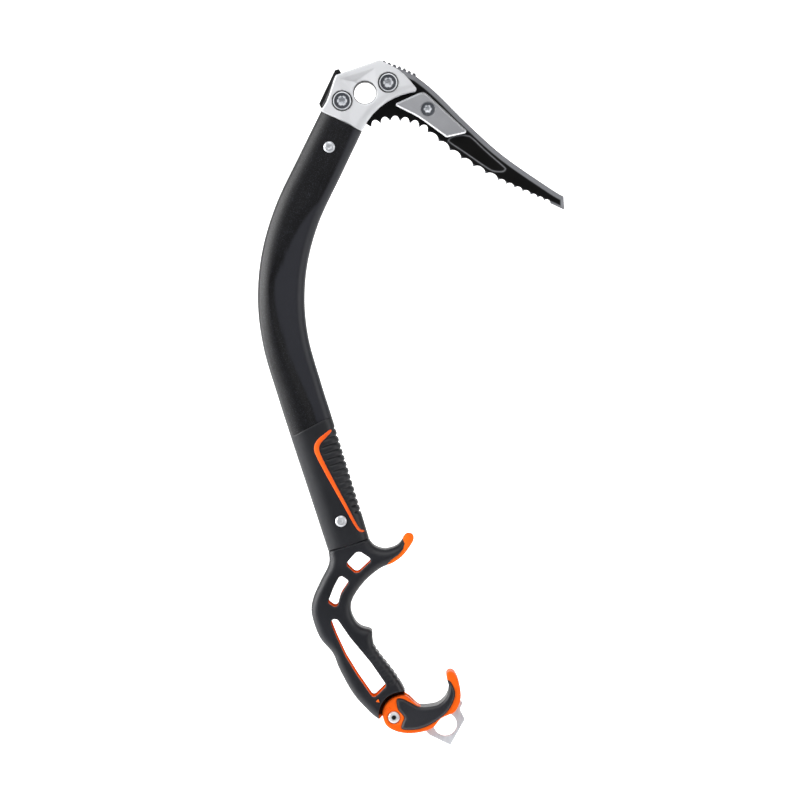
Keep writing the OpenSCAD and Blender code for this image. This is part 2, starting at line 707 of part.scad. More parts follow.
shaft();
head();
rear_cap();
pick();
front_pick_bolt();
rear_pick_bolt();
front_pick_nut();
rear_pick_nut();
right_pick_weight();
left_pick_weight();
weight_screw();
weight_nut();
upper_rivet();
lower_rivet();
grip_sleeve();
right_stripe();
left_stripe();
handle_core();
handle_grip();
size_pointer();
hand_rest();
hand_rest_pad();
spike();
spike_pins();
pivot_bolt();
pivot_nut();
pivot_bush();
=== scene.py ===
import math

import bpy
import numpy as np
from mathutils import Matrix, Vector


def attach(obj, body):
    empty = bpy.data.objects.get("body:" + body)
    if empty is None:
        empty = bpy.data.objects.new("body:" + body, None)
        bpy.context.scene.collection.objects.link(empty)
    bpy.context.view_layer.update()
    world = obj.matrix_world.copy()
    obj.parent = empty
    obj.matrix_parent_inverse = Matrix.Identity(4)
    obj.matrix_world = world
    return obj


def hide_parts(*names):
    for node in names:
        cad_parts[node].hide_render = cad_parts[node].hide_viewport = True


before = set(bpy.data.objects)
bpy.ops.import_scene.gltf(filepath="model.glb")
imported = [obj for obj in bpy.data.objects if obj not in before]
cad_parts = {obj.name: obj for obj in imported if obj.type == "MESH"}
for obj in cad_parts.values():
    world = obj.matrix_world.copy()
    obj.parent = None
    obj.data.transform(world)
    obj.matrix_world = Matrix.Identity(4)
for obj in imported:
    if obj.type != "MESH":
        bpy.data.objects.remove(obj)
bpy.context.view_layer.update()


# ---- Studio ----
# The axe hangs in front of a white sweep, seen square on from a little above its middle.
# Large soft lamps stand to the left, to the right, overhead and behind the camera.

CAMERA_PLACE, CAMERA_AIM = (0.0254, -2.283, -0.1553), (0.0254, 0, -0.22334)
AXE_MIDDLE = (0.02, 0, -0.22)


def look_at(thing, target):
    thing.rotation_euler = (Vector(target) - thing.location).to_track_quat("-Z", "Y").to_euler()


camera = bpy.data.objects.new("camera", bpy.data.cameras.new("camera"))
camera.location = CAMERA_PLACE
look_at(camera, CAMERA_AIM)
camera.data.lens = 140.8
camera.data.sensor_width = 36
camera.data.clip_start = 0.05
bpy.context.scene.collection.objects.link(camera)
bpy.context.scene.camera = camera
bpy.context.scene.view_settings.view_transform = "Standard"


def soft_lamp(name, place, width, height, watts):
    lamp = bpy.data.lights.new(name, "AREA")
    lamp.shape = "RECTANGLE"
    lamp.size, lamp.size_y = width, height
    lamp.energy = watts
    holder = bpy.data.objects.new(name, lamp)
    holder.location = place
    bpy.context.scene.collection.objects.link(holder)
    look_at(holder, AXE_MIDDLE)


soft_lamp("lamp_left", (-1.5, -0.75, 0.25), 0.5, 1.5, 28)
soft_lamp("lamp_rim", (-1.6, 0.0, -0.1), 0.8, 1.7, 42)
soft_lamp("lamp_right", (1.5, -0.6, 0.1), 0.4, 1.4, 14)
soft_lamp("lamp_top", (0.1, -0.9, 1.35), 1.3, 0.6, 17)
soft_lamp("lamp_front", (0.6, -2.6, 0.9), 1.0, 0.5, 9)

world = bpy.data.worlds.new("studio_air")
world.use_nodes = True
world.node_tree.nodes["Background"].inputs["Color"].default_value = (1, 1, 1, 1)
world.node_tree.nodes["Background"].inputs["Strength"].default_value = 0.12
bpy.context.scene.world = world

SWEEP_FRONT, SWEEP_FLOOR, SWEEP_TOP, SWEEP_HALF = -0.45, -0.75, 3.2, 3.4
BEND_FROM, BEND_R = 1.6, 1.2
sweep_side = [(SWEEP_FRONT, SWEEP_FLOOR), (BEND_FROM, SWEEP_FLOOR)]
sweep_side += [(BEND_FROM + BEND_R * math.sin(t), SWEEP_FLOOR + BEND_R - BEND_R * math.cos(t))
               for t in np.linspace(0.1, 1.57, 14)]
sweep_side += [(BEND_FROM + BEND_R, SWEEP_TOP)]
sweep_points = [(x, y, z) for y, z in sweep_side for x in (-SWEEP_HALF, SWEEP_HALF)]
sweep_faces = [(2 * i, 2 * i + 1, 2 * i + 3, 2 * i + 2) for i in range(len(sweep_side) - 1)]
sweep_mesh = bpy.data.meshes.new("sweep")
sweep_mesh.from_pydata(sweep_points, [], sweep_faces)
sweep_mesh.shade_smooth()
sweep = bpy.data.objects.new("sweep", sweep_mesh)
bpy.context.scene.collection.objects.link(sweep)
sweep_paper = bpy.data.materials.new("sweep_paper")
sweep_paper.use_nodes = True
paper = sweep_paper.node_tree.nodes["Principled BSDF"].inputs
paper["Base Color"].default_value = (0.93, 0.93, 0.93, 1)
paper["Roughness"].default_value = 0.9
paper["Emission Color"].default_value = (1, 1, 1, 1)
paper["Emission Strength"].default_value = 0.84
sweep.data.materials.append(sweep_paper)


# ---- Shaft ----
# A bent aluminium tube, hydroformed so that its section has a flat along the outer curve
# and a shallow facet that sweeps over each side. It is black anodised. Its fine sparkle is
# painted glints, and the facet is painted lighter, as painted light where the lamps fall on it.

MM = 0.001


def curve(points, steps, closed=False):
    """A smooth line through the points, with some steps between neighbours."""
    p = np.asarray(points, float)
    if closed:
        a, b, c, d = np.roll(p, 1, 0), p, np.roll(p, -1, 0), np.roll(p, -2, 0)
    else:
        long = np.vstack([p[:1], p, p[-1:]])
        a, b, c, d = long[:-3], long[1:-2], long[2:-1], long[3:]
    t = (np.arange(steps) / steps)[None, :, None]
    a, b, c, d = (k[:, None, :] for k in (a, b, c, d))
    line = 0.5 * (2 * b + (c - a) * t + (2 * a - 5 * b + 4 * c - d) * t ** 2
                  + (3 * b - a - 3 * c + d) * t ** 3)
    line = line.reshape(-1, p.shape[1])
    return line if closed else np.vstack([line, p[-1:]])


SQUARENESS = 0.72


def full_power(v):
    """A sine or cosine made fuller, so that a round section turns squarer."""
    return np.sign(v) * np.abs(v) ** SQUARENESS


SHAFT_STEPS = 12
SHAFT_LINE = curve([
    (-17.3, -20.7, 33.2), (-32.8, -52.5, 33.6), (-48.9, -86.4, 33.8), (-58.3, -118.2, 34.2),
    (-61.2, -149.9, 34.2), (-57.8, -181.3, 33.6), (-48.2, -214.9, 33.1), (-39.3, -243.0, 33.0),
    (-25.4, -286.5, 32.2), (-12.0, -329.3, 31.2),
], SHAFT_STEPS)
SLEEVE_ROW = 7 * SHAFT_STEPS
LAST_ROW = 9 * SHAFT_STEPS
SLEEVE_TILT = math.radians(9.7)
SHAFT_HALF = 11.0
SLEEVE_HALF = 11.6
SLIMMER = 1.3
RING_SIDES = 112

shaft_way = np.gradient(SHAFT_LINE[:, :2], axis=0)
shaft_way /= np.linalg.norm(shaft_way, axis=1)[:, None]
shaft_across = np.stack([-shaft_way[:, 1], shaft_way[:, 0]], 1)


def reach_along(line):
    """How far along a line each of its points lies."""
    return np.concatenate([[0], np.cumsum(np.linalg.norm(np.diff(line, axis=0), axis=1))])


shaft_reach = reach_along(SHAFT_LINE[:, :2])


def beside_shaft(x, z):
    """How far along the shaft a place in the side view is, and how far across it, in millimetres."""
    x, z = np.broadcast_arrays(np.asarray(x, float), np.asarray(z, float))
    best, along, across = np.full(x.shape, 1e9), np.zeros(x.shape), np.zeros(x.shape)
    for row in range(len(SHAFT_LINE)):
        dx, dz = x - SHAFT_LINE[row, 0], z - SHAFT_LINE[row, 1]
        far = dx * dx + dz * dz
        near = far < best
        best = np.where(near, far, best)
        along = np.where(near, shaft_reach[row] + dx * shaft_way[row, 0] + dz * shaft_way[row, 1], along)
        across = np.where(near, dx * shaft_across[row, 0] + dz * shaft_across[row, 1], across)
    return along, across


def softer_least(a, b, r):
    """The lesser of two heights, with the crease between them rounded off."""
    a, b = -a, -b
    return -(np.minimum(-r, np.maximum(a, b)) + np.hypot(np.maximum(a + r, 0), np.maximum(b + r, 0)))


FACET_LINE = np.array([
    (-11, -31), (-22, -56), (-33, -78), (-47.5, -96.5), (-58.5, -118.5), (-65.8, -136.5), (-65.8, -151),
    (-62, -169.5), (-54.8, -191.5), (-45.3, -213.5), (-38.8, -228), (-34.4, -242.5),
])
facet_along, facet_across = beside_shaft(FACET_LINE[:, 0], FACET_LINE[:, 1])
FACET_DEEP, FACET_WIDE = 1.5, 5.5
FLAT_WIDE = 13
SHAFT_CROWN, SLEEVE_CROWN = 0.032, 0.034


def smooth(value, low, high):
    """0 below the low value and 1 above the high one, with a soft step between."""
    t = np.clip((value - low) / (high - low), 0, 1)
    return t * t * (3 - 2 * t)


def flattened(y, u, half, top, crown):
    """A section's height with the flat cut along its outer side, which falls away to its edge."""
    flat = top - 0.1 - crown * np.maximum(-half + FLAT_WIDE - u, 0) ** 2
    return softer_least(y, np.where(u < 0, flat, 99), 0.8)


def shaft_ring(row, less=0.0, shift=0.0, tilt=0.0):
    """One ring round the shaft, with the flat on its outer side and the facet on its inner side."""
    t = 2 * np.pi * (np.arange(RING_SIDES) + 0.5) / RING_SIDES
    half = SHAFT_LINE[row, 2] / 2 - less
    u = half * full_power(np.cos(t))
    y = (SHAFT_HALF - less) * np.abs(full_power(np.sin(t)))
    y = flattened(y, u, half, SHAFT_HALF - less, SHAFT_CROWN)
    crease = np.interp(shaft_reach[row], facet_along, facet_across)
    facet = FACET_DEEP * smooth(u, crease - FACET_WIDE, crease + 0.2)
    y = softer_least(y, SHAFT_HALF - less - facet, 0.3)
    y *= np.sign(np.sin(t))
    centre = SHAFT_LINE[row, :2] + shaft_way[row] * shift
    slant = math.atan2(shaft_across[row, 1], shaft_across[row, 0]) + tilt
    u = u / math.cos(tilt)
    return np.stack([centre[0] + u * math.cos(slant), y, centre[1] + u * math.sin(slant)], 1)


def loft_faces(rows, sides):
    """Quads between neighbouring rings, and a face over each end."""
    faces = []
    for j in range(rows - 1):
        for i in range(sides):
            k = (i + 1) % sides
            faces.append((j * sides + i, (j + 1) * sides + i, (j + 1) * sides + k, j * sides + k))
    faces.append(tuple(range(sides)))
    faces.append(tuple((rows - 1) * sides + i for i in range(sides - 1, -1, -1)))
    return faces


def make(name, points, faces, finish, body, nodes, marks=None, sharp=38):
    """A piece from points in millimetres, with values marked on its points for its finish to read."""
    mesh = bpy.data.meshes.new(name)
    mesh.from_pydata((np.asarray(points) * MM).tolist(), [], [list(f) for f in faces])
    mesh.validate()
    mesh.shade_smooth()
    mesh.set_sharp_from_angle(angle=math.radians(sharp))
    for mark, values in (marks or {}).items():
        layer = mesh.attributes.new(mark, "FLOAT", "POINT")
        layer.data.foreach_set("value", np.asarray(values, np.float32))
    mesh.materials.append(finish)
    piece = bpy.data.objects.new(name, mesh)
    bpy.context.scene.collection.objects.link(piece)
    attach(piece, body)
    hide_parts(*nodes)


def paint(red, green, blue):
    """A colour as its light values, from the values on a paint card."""
    return tuple(((c / 255 + 0.055) / 1.055) ** 2.4 if c > 10 else c / 255 / 12.92
                 for c in (red, green, blue)) + (1.0,)


SOME, MOST = 0.3, 0.7


def surface(name, colour, other, cloud, grain, rough, spread=0.06, bump=0.1, depth=0.00005,
            metal=0.0, stretch=(1, 1, 1), worn=None, worn_rough=0.3, worn_to=0.8,
            mark=None, marked=None, marked_rough=0.4, marked_metal=None, painted_glints=None, shine=0.5):
    """A finish with cloudy colour, uneven roughness, a fine grain in relief, and wear on its edges.

    The mark is the name of the values that say where the finish is the marked one instead.
    """
    finish = bpy.data.materials.new(name)
    finish.use_nodes = True
    tree = finish.node_tree
    shader = tree.nodes["Principled BSDF"]

    def node(kind, **values):
        made = tree.nodes.new("ShaderNode" + kind)
        for key, value in values.items():
            setattr(made, key, value)
        return made

    def noise(scale, detail=4.0):
        made = node("TexNoise")
        made.inputs["Scale"].default_value = scale
        made.inputs["Detail"].default_value = detail
        tree.links.new(stretched.outputs["Vector"], made.inputs["Vector"])
        return made.outputs["Fac"]

    def mapped(value, low, high, to_low, to_high):
        made = node("MapRange")
        for key, number in zip(("From Min", "From Max", "To Min", "To Max"), (low, high, to_low, to_high)):
            made.inputs[key].default_value = number
        tree.links.new(value, made.inputs["Value"])
        return made.outputs["Result"]

    def mixed(factor, a, b, kind="RGBA"):
        made = node("Mix", data_type=kind)
        spots = {"RGBA": (0, 6, 7, 2), "FLOAT": (0, 2, 3, 0)}[kind]
        for spot, value in zip(spots, (factor, a, b)):
            if isinstance(value, bpy.types.NodeSocket):
                tree.links.new(value, made.inputs[spot])
            else:
                made.inputs[spot].default_value = value
        return made.outputs[spots[3]]

    def times(a, b):
        made = node("Math", operation="MULTIPLY")
        tree.links.new(a, made.inputs[0])
        tree.links.new(b, made.inputs[1])
        return made.outputs[0]

    place = node("TexCoord")
    stretched = node("Mapping")
    stretched.inputs["Scale"].default_value = stretch
    tree.links.new(place.outputs["Object"], stretched.inputs["Vector"])

    clouds = noise(cloud)
    fine = noise(grain, 3.0)
    tint = mixed(mapped(clouds, SOME, MOST, 0.0, 1.0), colour, other)
    tint = mixed(mapped(fine, SOME, MOST, 0.0, 0.35), tint, mixed(0.5, tint, other))
    roughness = mixed(0.35, mapped(clouds, SOME, MOST, rough - spread, rough + spread),
                      mapped(fine, 0.25, 0.75, rough - spread, rough + spread), kind="FLOAT")
    metallic = metal
    # Painted glints: tiny bright dots in the colour that stand for light glinting off the anodising.
    if painted_glints:
        glint = mapped(noise(2600, 1.0), 0.62, 0.7, 0.0, 1.0)
        tint = mixed(glint, tint, painted_glints)
    if mark:
        area = node("Attribute", attribute_name=mark).outputs["Fac"]
        grains = mixed(mapped(fine, SOME, MOST, 0.0, 1.0), marked, mixed(0.9, other, marked))
        tint = mixed(area, tint, grains)
        uneven = mapped(fine, SOME, MOST, marked_rough - 0.06, marked_rough + 0.06)
        roughness = mixed(area, roughness, uneven, kind="FLOAT")
        if marked_metal is not None:
            metallic = mixed(area, metal, marked_metal, kind="FLOAT")
    if worn:
        edge = mapped(node("Attribute", attribute_name="edge").outputs["Fac"], 0.25, 0.9, 0.0, worn_to)
        rubbed = times(edge, mapped(noise(cloud * 4), 0.35, 0.6, 0.25, 1.0))
        tint = mixed(rubbed, tint, worn)
        roughness = mixed(rubbed, roughness, worn_rough, kind="FLOAT")
    relief = node("Bump")
    relief.inputs["Strength"].default_value = bump
    relief.inputs["Distance"].default_value = depth
    tree.links.new(fine, relief.inputs["Height"])
    tree.links.new(relief.outputs["Normal"], shader.inputs["Normal"])
    tree.links.new(tint, shader.inputs["Base Color"])
    tree.links.new(roughness, shader.inputs["Roughness"])
    if isinstance(metallic, bpy.types.NodeSocket):
        tree.links.new(metallic, shader.inputs["Metallic"])
    else:
        shader.inputs["Metallic"].default_value = metallic
    shader.inputs["Specular IOR Level"].default_value = shine
    return finish


# The facet mark paints the inner facet a lighter grey: painted light, for the lamps that fall on it.
shaft_black = surface(
    "shaft_black", paint(6, 6, 8), paint(10, 10, 13), cloud=35, grain=1500, rough=0.42, spread=0.04,
    bump=0.25, depth=0.00003, painted_glints=paint(56, 58, 66), shine=0.3, mark="facet", marked=paint(32, 33, 39),
    marked_rough=0.5)

shaft_rings = [shaft_ring(row) for row in range(SLEEVE_ROW)]
shaft_rings += [shaft_ring(SLEEVE_ROW, tilt=SLEEVE_TILT),
                shaft_ring(SLEEVE_ROW, SLIMMER, shift=0.4, tilt=SLEEVE_TILT)]
shaft_rings += [shaft_ring(row, SLIMMER) for row in range(SLEEVE_ROW + SHAFT_STEPS // 3, LAST_ROW + 1, 3)]
shaft_points = np.vstack(shaft_rings)
# The facet mask marks where that lighter painted light goes, softened over the crease.
along, across = beside_shaft(shaft_points[:, 0], shaft_points[:, 2])
crease = np.interp(along, facet_along, facet_across)
make("shaft_tube", shaft_points, loft_faces(len(shaft_rings), RING_SIDES), shaft_black, "axe",
     ["shaft"], {"facet": smooth(across, crease - 0.6, crease + 1.4)})


# ---- Head ----
# One forging in aluminium, slotted for the pick, with an eye for a carabiner and a hollow
# dressed into each side above it. It is shot-blasted and coated light grey.

def least_round(a, b, r):
    """Both shapes at once: where they cross, the edge is rounded to a radius."""
    return np.minimum(-r, np.maximum(a, b)) + np.hypot(np.maximum(a + r, 0), np.maximum(b + r, 0))


def most_round(a, b, r):
    """Either shape: where they meet, the hollow corner is filled to a radius."""
    return np.maximum(r, np.minimum(a, b)) - np.hypot(np.maximum(r - a, 0), np.maximum(r - b, 0))


def bevelled(a, b, c):
    """Both shapes at once, with a flat bevel where they cross."""
    return np.maximum(np.maximum(a, b), (a + b + c) * math.sqrt(0.5))


def from_lines(ends, x, z):
    """The distance from the nearest of some straight lines, each given by its two ends."""
    best = np.full(x.shape, 1e9)
    for (ax, az), (bx, bz) in ends:
        ex, ez, wx, wz = bx - ax, bz - az, x - ax, z - az
        t = np.clip((wx * ex + wz * ez) / (ex * ex + ez * ez), 0, 1)
        best = np.minimum(best, (wx - t * ex) ** 2 + (wz - t * ez) ** 2)
    return np.sqrt(best)


def outline(points):
    """The distance from a closed outline in the side view, below zero inside it."""
    p = np.asarray(points, float)[:, :2]
    p = p[np.linalg.norm(p - np.roll(p, 1, 0), axis=1) > 1e-6]
    ends = list(zip(p, np.roll(p, -1, 0)))

    def distance(x, z):
        x, z = np.broadcast_arrays(x, z)
        inside = np.zeros(x.shape, bool)
        for (ax, az), (bx, bz) in ends:
            if az != bz:
                inside ^= ((az > z) != (bz > z)) & (x - ax < (bx - ax) * (z - az) / (bz - az))
        return np.where(inside, -1, 1) * from_lines(ends, x, z)
    return distance


def beside(points):
    """The distance from an open line in the side view."""
    ends = list(zip(points[:-1], points[1:]))
    return lambda x, z: from_lines(ends, *np.broadcast_arrays(x, z))


def over_line(a, b):
    """How far a place is to the left of the straight line from a to b."""
    ex, ez = b[0] - a[0], b[1] - a[1]
    size = math.hypot(ex, ez)
    return lambda x, z: ((z - a[1]) * ex - (x - a[0]) * ez) / size


def rounded(corners, free_ends=False):
    """An outline from corners, each with the radius that rounds it."""
    places = [np.array(c[:2], float) for c in corners]
    made = []
    for i, (_, _, r) in enumerate(corners):
        p = places[i]
        if r == 0 or free_ends and i in (0, len(corners) - 1):
            made.append(p)
            continue
        a, b = places[i - 1] - p, places[(i + 1) % len(places)] - p
        a, b = a / np.linalg.norm(a), b / np.linalg.norm(b)
        half = math.acos(np.clip(a @ b, -1, 1)) / 2
        middle = (a + b) / np.linalg.norm(a + b) * r / math.sin(half)
        start = a * r / math.tan(half) - middle
        turn = (math.pi - 2 * half) * -np.sign(a[0] * b[1] - a[1] * b[0])
        for t in np.linspace(0, turn, max(3, int(abs(turn) / 0.12) + 1)):
            c, s = math.cos(t), math.sin(t)
            made.append(p + middle + (start[0] * c - start[1] * s, start[0] * s + start[1] * c))
    return np.array(made)


def slope(field, at):
    """The outward direction of a shape's field at some places."""
    small, here = 0.02, field(*at.T)
    way = np.stack([field(*(at + small * np.eye(3)[k]).T) - here for k in range(3)], 1) / small
    return way / np.maximum(np.linalg.norm(way, axis=1), 1e-9)[:, None]


HOLD, ROAM, COARSER = 0.12, 0.6, 1.8


def net(field, low, high, step):
    """Skins the shape where the field is below zero, with quads that keep its creases.

    Each point moves to where the faces through its cell meet: it is held a little to the
    middle of them, and roams no further than part of a cell.
    """
    step = np.ones(3) * step * 1
    grid = [np.arange(a - 2 * s, b + 2 * s, s) for a, b, s in zip(low, high, step)]
    value = field(grid[0][:, None, None], grid[1][None, :, None], grid[2][None, None, :])
    shape = np.array(value.shape) - 1
    spots, cells = [], []
    for axis in range(3):
        one, two = (axis + 1) % 3, (axis + 2) % 3
        first, second = (np.take(value, range(k, shape[axis] + k), axis) for k in (0, 1))
        at = np.argwhere((first < 0) != (second < 0))
        a, b = first[tuple(at.T)], second[tuple(at.T)]
        spot = at.astype(float)
        spot[:, axis] += a / (a - b)
        round_it = []
        for u, v in ((-1, -1), (0, -1), (0, 0), (-1, 0)):
            cell = at.copy()
            cell[:, one] += u
            cell[:, two] += v
            round_it.append(np.ravel_multi_index(cell.T, shape))
        round_it = np.stack(round_it, 1)
        spots.append(spot * step + np.array([g[0] for g in grid]))
        cells.append(np.where((a < 0)[:, None], round_it, round_it[:, ::-1]))
    spots, cells = np.concatenate(spots), np.concatenate(cells)
    used, quads = np.unique(cells, return_inverse=True)
    quads = quads.reshape(cells.shape)
    way = slope(field, spots)

    def gather(values):
        return np.bincount(quads.ravel(), np.repeat(values, 4), len(used))

    hits = gather(np.ones(len(spots)))
    middle = np.stack([gather(spots[:, k]) / hits for k in range(3)], 1)
    reach = (way * spots).sum(1)
    pull = np.array([[gather(way[:, i] * way[:, j]) for i in range(3)] for j in range(3)]).transpose(2, 0, 1)
    push = np.stack([gather(way[:, k] * reach) for k in range(3)], 1) - (pull @ middle[:, :, None])[:, :, 0]
    shift = np.linalg.solve(pull + HOLD * np.eye(3), push[:, :, None])[:, :, 0]
    return middle + np.clip(shift, -ROAM * step, ROAM * step), quads


def edge_mark(field, points, width):
    """1 where a piece is sharp enough to be rubbed bright, and 0 on its flats and hollows."""
    way = slope(field, points)
    return np.clip(1 + field(*(points - way * width).T) / width, 0, 1)


HEAD_OUTLINE = rounded([
    (-32.2, -13.35, 0), (-29.9, -9.9, 0), (-27.9, -6.6, 0), (-26.5, -3.2, 0), (-25.2, 0.6, 0),
    (-24, 4.4, 0), (-22.7, 8.4, 0), (-21.2, 12.5, 2), (10.4, 23.7, 3), (26.8, 15.9, 40),
    (39, 1.1, 2), (9.6, -4.2, 48), (-2.4, -27.92, 0)])
SLOT_OUTLINE = rounded([
    (-28.6, -11, 0), (-21.5, 7.2, 0), (-12, 12.7, 2), (10.2, 20.9, 3), (12, 30, 0), (60, 30, 0),
    (60, -40, 0), (-2.6, -40, 0), (0.2, -22.4, 0), (-3, -13, 6), (-18, -16.6, 8)])
EYE_R = 8.1
HEAD_HALF = ((-34, -18, -11, 15, 40), (11.2, 11.2, 10, 10, 8))
THROAT_WIDE, THROAT_DISH = 6.5, 0.075
RECESS_R, RECESS_DEEP = 7.3, 4.6
PICK_SLOT_HALF = 2.05
PICK_BOLTS = {"front": (16.9, 7.2, 9.5), "rear": (-16.6, -6.1, 10.9)}
head_side = outline(HEAD_OUTLINE)
head_slot = outline(SLOT_OUTLINE)
head_throat = beside(rounded([(46, 2, 0), (39, 1.1, 2), (9.6, -4.2, 48), (-2.3, -28, 0)], True))
hollow_top = over_line((-16, 10.6), (5.6, 17))
hollow_left = over_line((-17, 8.4), (-7.6, -0.6))
hollow_right = over_line((8.6, 0), (7.2, 20))


def head_body(x, y, z):
    """The forging before it is bored and slotted."""
    hollow = softer_least(-hollow_top(x, z) * 0.55, hollow_left(x, z) * 0.45, 0.5)
    hollow = softer_least(hollow, hollow_right(x, z) * 0.18, 0.25)
    hollow = np.maximum(hollow, 0) * smooth(z, -9, 2)
    throat = THROAT_DISH * np.clip(THROAT_WIDE - head_throat(x, z), 0, THROAT_WIDE) ** 2
    side = np.abs(y) - np.interp(x, *HEAD_HALF) + hollow + throat
    return least_round(head_side(x, z), side, 1.2)


def head_field(x, y, z):
    body = head_body(x, y, z)
    body = least_round(body, EYE_R - np.hypot(x, z), 1.3)
    for bx, bz, face in PICK_BOLTS.values():
        recess = np.maximum(np.hypot(x - bx, z - bz) - RECESS_R, face - RECESS_DEEP - np.abs(y))
        body = least_round(body, -recess, 0.25)
    return np.maximum(body, -np.maximum(head_slot(x, z), np.abs(y) - PICK_SLOT_HALF))


def head_recess_shade(x, y, z):
    """The bore of the eye and the walls of the bolt recesses, painted dark as the shade that falls in them.
    """
    dark = 1 - smooth(np.hypot(x, z), EYE_R + 0.3, EYE_R + 0.7)
    for bx, bz, _ in PICK_BOLTS.values():
        dark = np.maximum(dark, 1 - smooth(np.hypot(x - bx, z - bz), RECESS_R + 0.2, RECESS_R + 0.5))
    return dark


# The marked colour here is painted shade: dark in the eye's bore and round the bolt recesses.
head_grey = surface(
    "head_grey", paint(198, 199, 202), paint(206, 207, 210), cloud=25, grain=1400, rough=0.44, spread=0.05,
    bump=0.2, depth=0.00004, metal=0.15, mark="recess_shade", marked=paint(34, 34, 37), marked_rough=0.6,
    marked_metal=0.0, worn=paint(232, 233, 235), worn_rough=0.32, worn_to=0.6, shine=0.35)
head_points, head_quads = net(head_field, (-34, -12, -30), (41, 12, 26), 0.55)
make("head_forging", head_points, head_quads, head_grey, "axe", ["head"],
     {"edge": edge_mark(head_field, head_points, 0.8), "recess_shade": head_recess_shade(*head_points.T)})


# ---- Rear cap ----
# A glossy black plastic strip that closes the back of the head and ends in a small hook.
# A lug on its inside clips into the slot.

cap_side = outline(rounded([
    (-21.8, 16.2, 1), (-18.8, 17, 1), (-17, 13.9, 0.6), (-21.3, 12.4, 1), (-22.6, 6.4, 0),
    (-26.6, -5.6, 0), (-31.2, -12.2, 1), (-33.4, -8.2, 1)]))
cap_line = beside([(-22.2, 12.6), (-25.6, 3), (-29.2, -5.4), (-31.6, -9.8)])


CAP_HALF = 9.5


def dent(distance, deep, wide):
    """A soft groove: how deep it is at some distance from its middle."""
    return deep * np.exp(-(distance / wide) ** 2)


def cap_field(x, y, z):
    body = least_round(cap_side(x, z), np.abs(y) - CAP_HALF + dent(cap_line(x, z), 0.6, 0.7), 0.7)
    return np.maximum(body, 0.05 - head_body(x, y, z))


cap_black = surface("cap_black", paint(9, 9, 10), paint(15, 15, 17), cloud=90, grain=1600, rough=0.3,
                    bump=0.08, worn=paint(48, 48, 52), worn_to=0.5, shine=0.4)
cap_points, cap_quads = net(cap_field, (-36, -10.5, -14), (-15, 10.5, 19), 0.42)
make("rear_cap_strip", cap_points, cap_quads, cap_black, "axe", ["rear_cap"],
     {"edge": edge_mark(cap_field, cap_points, 0.5)})


# ---- Pick ----
# A blade forged and cut from 4 mm alloy steel and blackened. Its back and its point are
# ground back to grey metal, and a long drop is forged shallow into each side.

PICK_HALF = 2.0
TOOTH_LINE = curve([
    (4.6, -24.6), (18.8, -20.1), (33, -22.3), (45.1, -28.4), (61.8, -41.9), (79, -53.5),
    (96.8, -63.2), (115, -71.5), (130.4, -78.1), (138, -81.2)], 8)
TOOTH_GROUPS = [(6, 7.2, 4.1), (6, 10.4, 2.8), (4, 6.5, 2.2), (3, 5.2, 1.9)]
tooth_reach = reach_along(TOOTH_LINE)


def on_tooth_line(distance):
    return np.array([np.interp(distance, tooth_reach, TOOTH_LINE[:, k]) for k in (0, 1)])


teeth = [TOOTH_LINE[0]]
place = 0.0
for count, pitch, deep in TOOTH_GROUPS:
    for _ in range(count):
        root, tip = on_tooth_line(place), on_tooth_line(place + pitch)
        chord = tip - root
        up = np.array([-chord[1], chord[0]]) / np.linalg.norm(chord)
        for t in np.linspace(0, math.pi, 11)[1:-1]:
            teeth.append(root + chord * (0.5 - 0.44 * math.cos(t)) + up * deep * math.sin(t))
        teeth.append(tip)
        place += pitch

TOP_LINE = [(12.4, 22.4), (25.4, 17.6), (37.8, 11.7)]
TOP_TEETH, TOP_HIGH = 7, 1.7
top_teeth = []
for i in range(TOP_TEETH):
    base, low = (np.array([np.interp(t, (0, 0.5, 1), [p[k] for p in TOP_LINE]) for k in (0, 1)])
                 for t in (i / TOP_TEETH, (i + 0.55) / TOP_TEETH))
    top_teeth += [base, base + (1.1, TOP_HIGH), low + (0.9, TOP_HIGH * 0.55), low + (0.6, 0)]

PICK_BACK = curve([
    (37.8, 11.7), (51.1, 0.9), (74.6, -22.3), (100.7, -45.6), (134.2, -68.8), (144.6, -75)], 6)
PICK_POINT = (145.2, -84.8)
TANG = rounded([(1.2, -22.4, 0.5), (-2.8, -12.4, 6), (-17.6, -16.2, 8), (-27, -3, 8), (-11.6, 12.2, 3),
                (9.6, 20.2, 2)], True)
pick_side = outline(np.vstack([teeth[::-1], TANG, top_teeth, PICK_BACK, [PICK_POINT]]))
pick_back = beside(np.vstack([TOP_LINE, PICK_BACK[1:]]))
pick_front = beside([PICK_BACK[-1], PICK_POINT])
pick_edge = beside(np.vstack([TOOTH_LINE, [PICK_POINT]]))
pick_drop = outline(curve([
    (61.1, -33.7), (64, -31.7), (70.5, -30.6), (74.9, -31.1), (77.8, -32.6), (88, -42.2), (101.1, -53.6),
    (101.8, -55.5), (100.4, -56.8), (96, -56.9), (91.6, -55.8), (83.6, -50.7), (72.7, -43.1),
    (61.8, -35.8)], 3, True))
BACK_GROUND, FRONT_GROUND, TEETH_GROUND = 3.4, 2.5, 1.6
PICK_BOLT_HOLE = 4.05


def pick_half(x, z):
    """Half of the blade's thickness: full, then ground away towards its back, its point and its teeth."""
    half = np.minimum(PICK_HALF, 0.9 + 1.1 * pick_back(x, z) / BACK_GROUND)
    half = np.minimum(half, 0.7 + 1.3 * pick_front(x, z) / FRONT_GROUND)
    half = np.minimum(half, 1.5 + 0.5 * pick_edge(x, z) / TEETH_GROUND)
    return half - dent(pick_drop(x, z), 0.35, 0.5)


def pick_field(x, y, z):
    blade = np.maximum(pick_side(x, z), np.abs(y) - pick_half(x, z))
    blade = np.maximum(blade, EYE_R + 0.6 - np.hypot(x, z))
    for bx, bz, _ in PICK_BOLTS.values():
        blade = np.maximum(blade, PICK_BOLT_HOLE - np.hypot(x - bx, z - bz))
    return blade


